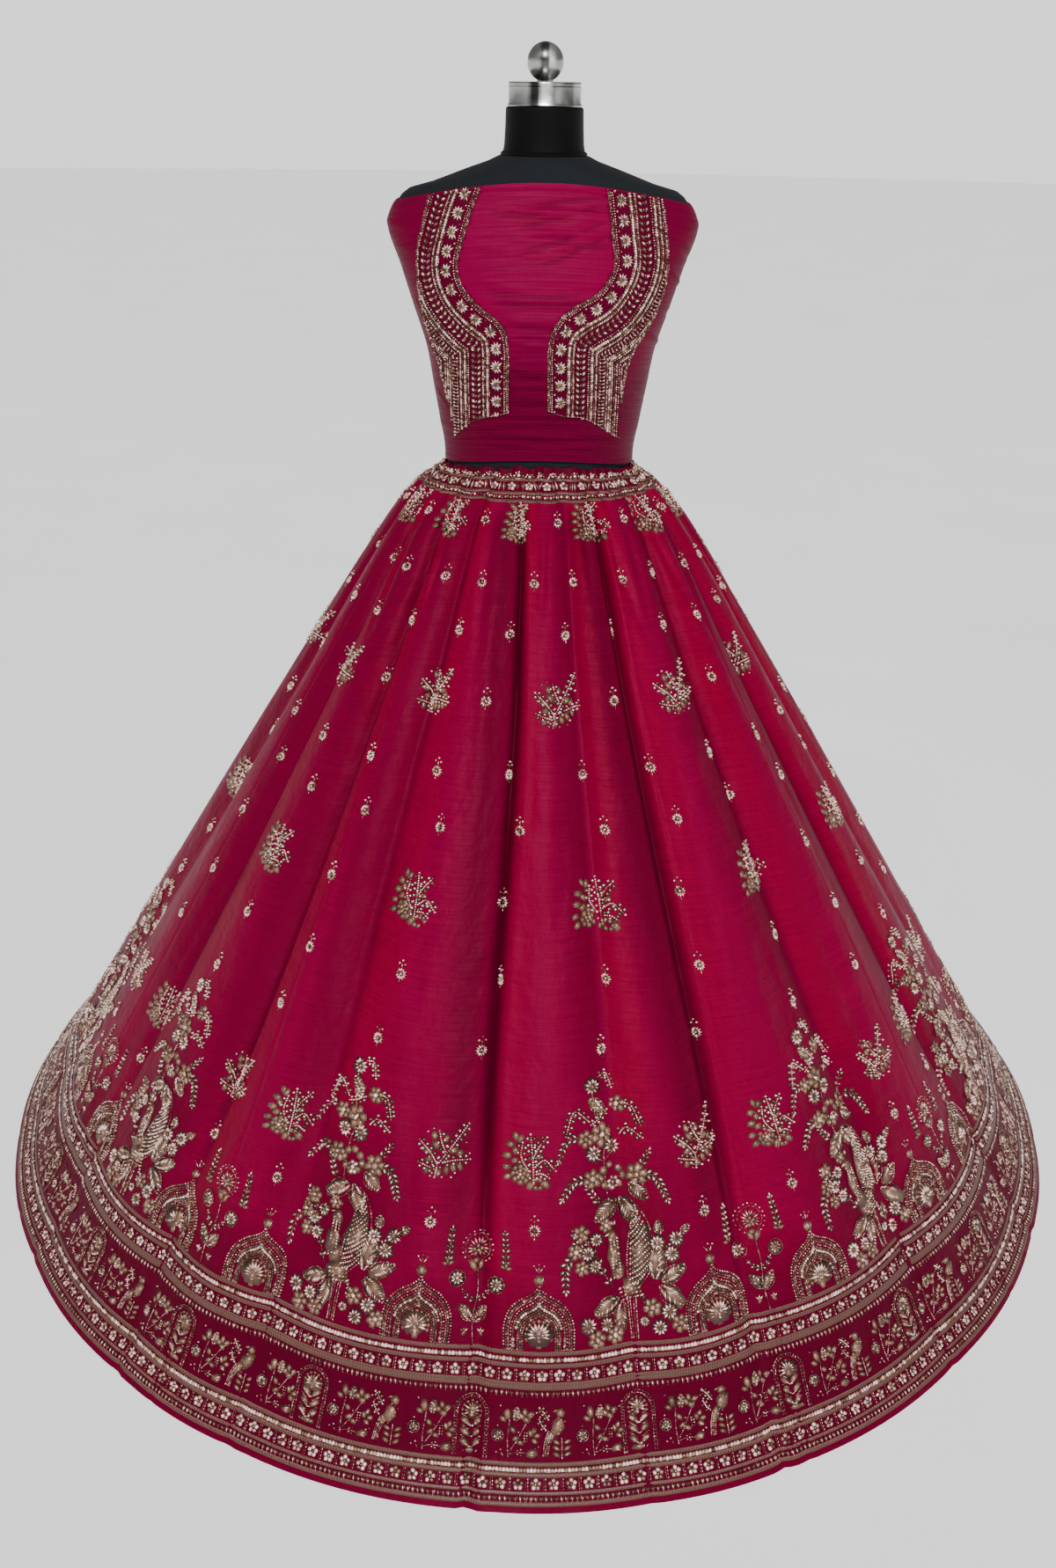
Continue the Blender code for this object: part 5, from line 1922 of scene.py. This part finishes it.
class OBJECT_OT_lehenga_skirt(Operator):
    """Make the skirt's twelve flared panels of raw silk"""

    bl_idname = "object.lehenga_skirt"
    bl_label = "Skirt panels"

    def execute(self, context):
        for index in range(KALI_COUNT):
            seam = FIRST_SEAM_DEG + index * KALI_DEG
            piece = skirt_sheet(f"kali_silk_{index + 1:02d}", seam, KALI_DEG, HEM_UP + SEAM_GAP,
                                WAIST_UP - SEAM_GAP, PANEL_GRID, [f"kali_{index + 1:02d}"],
                                settings().cloth.silk_thickness, 0.5)
        return {"FINISHED"}


class OBJECT_OT_lehenga_hem(Operator):
    """Make the plain turned hem"""

    bl_idname = "object.lehenga_hem"
    bl_label = "Turned hem"

    def execute(self, context):
        width = HEM_PANELS * KALI_DEG
        for index in range(HEM_STRIPS):
            seam = FIRST_SEAM_DEG + index * width
            piece = skirt_sheet(f"hem_turning_{index + 1}", seam, width, HEM_LOW, HEM_UP - SEAM_GAP, HEM_GRID,
                                [f"hem_strip_{index + 1}"], settings().cloth.hem_thickness)
        return {"FINISHED"}


class OBJECT_OT_lehenga_waistband(Operator):
    """Make the gathered waistband, front and back"""

    bl_idname = "object.lehenga_waistband"
    bl_label = "Waistband"

    def execute(self, context):
        first = FIRST_SEAM_DEG - STRIP_DEG / 2
        for name, start in (("front", first), ("back", first + STRIP_DEG)):
            piece = skirt_sheet(f"waistband_silk_{name}", start, STRIP_DEG, WAIST_UP, SKIRT_UP, BAND_GRID,
                                [f"waistband_{name}"], settings().cloth.silk_thickness)
        return {"FINISHED"}


class OBJECT_OT_lehenga_choli(Operator):
    """Make the wrapped blouse piece, front and back, with its tension creases"""

    bl_idname = "object.lehenga_choli"
    bl_label = "Blouse piece"

    def execute(self, context):
        for name, middle in (("front", 0), ("back", 180)):
            made, across, along = grid_shares(*CHOLI_GRIDS[name])
            edge = degrees(SEAM_GAP / 2 / (CHOLI_RINGS[0].back - CHOLI_CLOTH))
            azimuth = middle - 90 + edge + (180 - 2 * edge) * across
            flat = np.stack([(across - 0.5) * CHOLI_FLAT[0], along * CHOLI_FLAT[1]], axis=1)
            lay_cloth(made, choli_surface(azimuth, along), flat)
            piece = new_piece(f"blouse_silk_{name}", made, choli_silk(), [f"choli_{name}"])
            mark(piece, "shade", choli_shade(azimuth, along))
            thicken(piece, settings().cloth.silk_thickness)
        return {"FINISHED"}


class OBJECT_OT_lehenga_form(Operator):
    """Make the dress form's body and neck"""

    bl_idname = "object.lehenga_form"
    bl_label = "Dress form"

    def execute(self, context):
        make_form()
        make_neck()
        return {"FINISHED"}


class OBJECT_OT_lehenga_metal(Operator):
    """Make the form's steel cap and ball, and finish its stand"""

    bl_idname = "object.lehenga_metal"
    bl_label = "Cap, ball and stand"

    def execute(self, context):
        make_cap()
        make_ball()
        # The stand's steel, with a painted reflection that lightens it towards +X.
        dark = finish_of("dark_steel", steel_finish, (0.12, 0.12, 0.125), 0.32, STAND_REFLECTIONS)
        for node in ("stand_pole", "stand_base"):
            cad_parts[node].data.materials.clear()
            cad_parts[node].data.materials.append(dark)
        return {"FINISHED"}


class OBJECT_OT_lehenga_borders(Operator):
    """Sew the two borders of lace, flowers, drops and sequins round the hem"""

    bl_idname = "object.lehenga_borders"
    bl_label = "Borders"

    def execute(self, context):
        sew_border("lower_border", LOWER_BORDER)
        sew_border("upper_border", UPPER_BORDER)
        return {"FINISHED"}


class OBJECT_OT_lehenga_niches(Operator):
    """Sew the band of niches, branches and small birds between the borders"""

    bl_idname = "object.lehenga_niches"
    bl_label = "Niche band"

    def execute(self, context):
        placed = round_skirt(niche(), NICHE_UP, NICHE_OFFSETS)
        placed += round_skirt(niche_bird(), NICHE_UP, BIRD_OFFSETS)
        sew_on_skirt("niches_and_birds", placed)
        sew_on_skirt("niche_branches", round_skirt(niche_spray(), NICHE_UP, SPRAY_OFFSETS))
        return {"FINISHED"}


class OBJECT_OT_lehenga_arches(Operator):
    """Sew the palace windows and the flowering plants that stand on the upper border"""

    bl_idname = "object.lehenga_arches"
    bl_label = "Windows and plants"

    def execute(self, context):
        sew_on_skirt("palace_windows", round_skirt(arch(), ARCH_UP, ARCH_OFFSETS))
        sew_on_skirt("flowering_plants", round_skirt(plant(), ARCH_UP, (PLANT_OFFSET,)))
        return {"FINISHED"}


class OBJECT_OT_lehenga_trees(Operator):
    """Sew the peacock trees"""

    bl_idname = "object.lehenga_trees"
    bl_label = "Peacock trees"

    def execute(self, context):
        sew_on_skirt("peacock_trees", round_skirt(tree(), TREE_UP, (TREE_OFFSET,)))
        return {"FINISHED"}


class OBJECT_OT_lehenga_buttis(Operator):
    """Sew the small and medium motifs scattered over the skirt"""

    bl_idname = "object.lehenga_buttis"
    bl_label = "Scattered motifs"

    def execute(self, context):
        sew_on_skirt("small_buttis", scattered(small_butti(), SMALL_BUTTIS))
        sew_on_skirt("sprigs", scattered(sprig(), SPRIGS))
        sew_on_skirt("rose_sprigs", scattered(rose_sprig(), ROSE_SPRIGS))
        return {"FINISHED"}


class OBJECT_OT_lehenga_waist_trim(Operator):
    """Sew the waistband's flowers, beads and lace"""

    bl_idname = "object.lehenga_waist_trim"
    bl_label = "Waistband trim"

    def execute(self, context):
        for index, up in enumerate((2.8, 14.6, 35.0)):
            lace_ring(f"waistband_lace_{index + 1}", WAIST_UP + up * MM, 4.2 * MM, 360)
        placed = ring_of(waist_bead(), WAIST_UP + 8.6 * MM, 6.6)
        placed += ring_of(waist_square(), WAIST_UP + 25.0 * MM, 20.5)
        placed += ring_of(waist_scallop(), WAIST_UP + 41.0 * MM, 13.0)
        sew_on_skirt("waistband_stitches", placed)
        return {"FINISHED"}


class OBJECT_OT_lehenga_choli_bands(Operator):
    """Sew the two embroidered bands on the front of the blouse"""

    bl_idname = "object.lehenga_choli_bands"
    bl_label = "Blouse bands"

    def execute(self, context):
        for name, band in zip(("left", "right"), BANDS):
            sew_on_choli(f"blouse_band_{name}", choli_band(band))
        return {"FINISHED"}


class OBJECT_OT_lehenga_stage(Operator):
    """Set out the pale floor, the soft lights and the camera"""

    bl_idname = "object.lehenga_stage"
    bl_label = "Stage"

    def execute(self, context):
        stage = settings().stage
        made = bmesh.new()
        bmesh.ops.create_circle(made, cap_ends=True, segments=64, radius=30)
        mesh = bpy.data.meshes.new("studio_floor")
        made.to_mesh(mesh)
        made.free()
        mesh.materials.append(floor_finish())
        placed_object("studio_floor", mesh)
        soft_light("key_light", "SUN", stage.key_strength, (-0.2, -3.6, 3.9), (0, 0, 0.6), 12)
        soft_light("fill_light", "AREA", stage.fill_power, (2.4, -2.6, 2.4), (0, 0, 0.7), 1.5)
        room_world(stage.room_light)
        photo_camera(stage)
        return {"FINISHED"}


class VIEW3D_PT_lehenga(Panel):
    """The pieces of the lehenga choli, in the order in which they are made"""

    bl_label = "Lehenga Choli"
    bl_space_type = "VIEW_3D"
    bl_region_type = "UI"
    bl_category = "Lehenga"

    def draw(self, context):
        layout = self.layout
        for operator in OPERATORS:
            layout.operator(operator.bl_idname)
        lehenga = context.scene.lehenga
        for group in (lehenga.cloth, lehenga.colours, lehenga.stage):
            box = layout.box()
            for name in group.__annotations__:
                box.prop(group, name)


OPERATORS = (
    OBJECT_OT_lehenga_form,
    OBJECT_OT_lehenga_metal,
    OBJECT_OT_lehenga_waistband,
    OBJECT_OT_lehenga_skirt,
    OBJECT_OT_lehenga_hem,
    OBJECT_OT_lehenga_choli,
    OBJECT_OT_lehenga_borders,
    OBJECT_OT_lehenga_niches,
    OBJECT_OT_lehenga_arches,
    OBJECT_OT_lehenga_trees,
    OBJECT_OT_lehenga_buttis,
    OBJECT_OT_lehenga_waist_trim,
    OBJECT_OT_lehenga_choli_bands,
    OBJECT_OT_lehenga_stage,
)
CLASSES = (ClothSettings, ColourSettings, StageSettings, LehengaSettings, *OPERATORS, VIEW3D_PT_lehenga)

PANEL_GRID = (48, 72)
HEM_GRID = (150, 3)
HEM_LOW = 0.2 * MM
BAND_GRID = (260, 10)
CHOLI_GRIDS = {"front": (92, 112), "back": (64, 64)}
CHOLI_FLAT = (0.48, 0.345)


def register():
    for cls in CLASSES:
        bpy.utils.register_class(cls)
    bpy.types.Scene.lehenga = PointerProperty(type=LehengaSettings)


def unregister():
    del bpy.types.Scene.lehenga
    for cls in reversed(CLASSES):
        bpy.utils.unregister_class(cls)


def main():
    register()
    for operator in OPERATORS:
        group, name = operator.bl_idname.split(".")
        getattr(getattr(bpy.ops, group), name)()


if __name__ == "__main__":
    main()
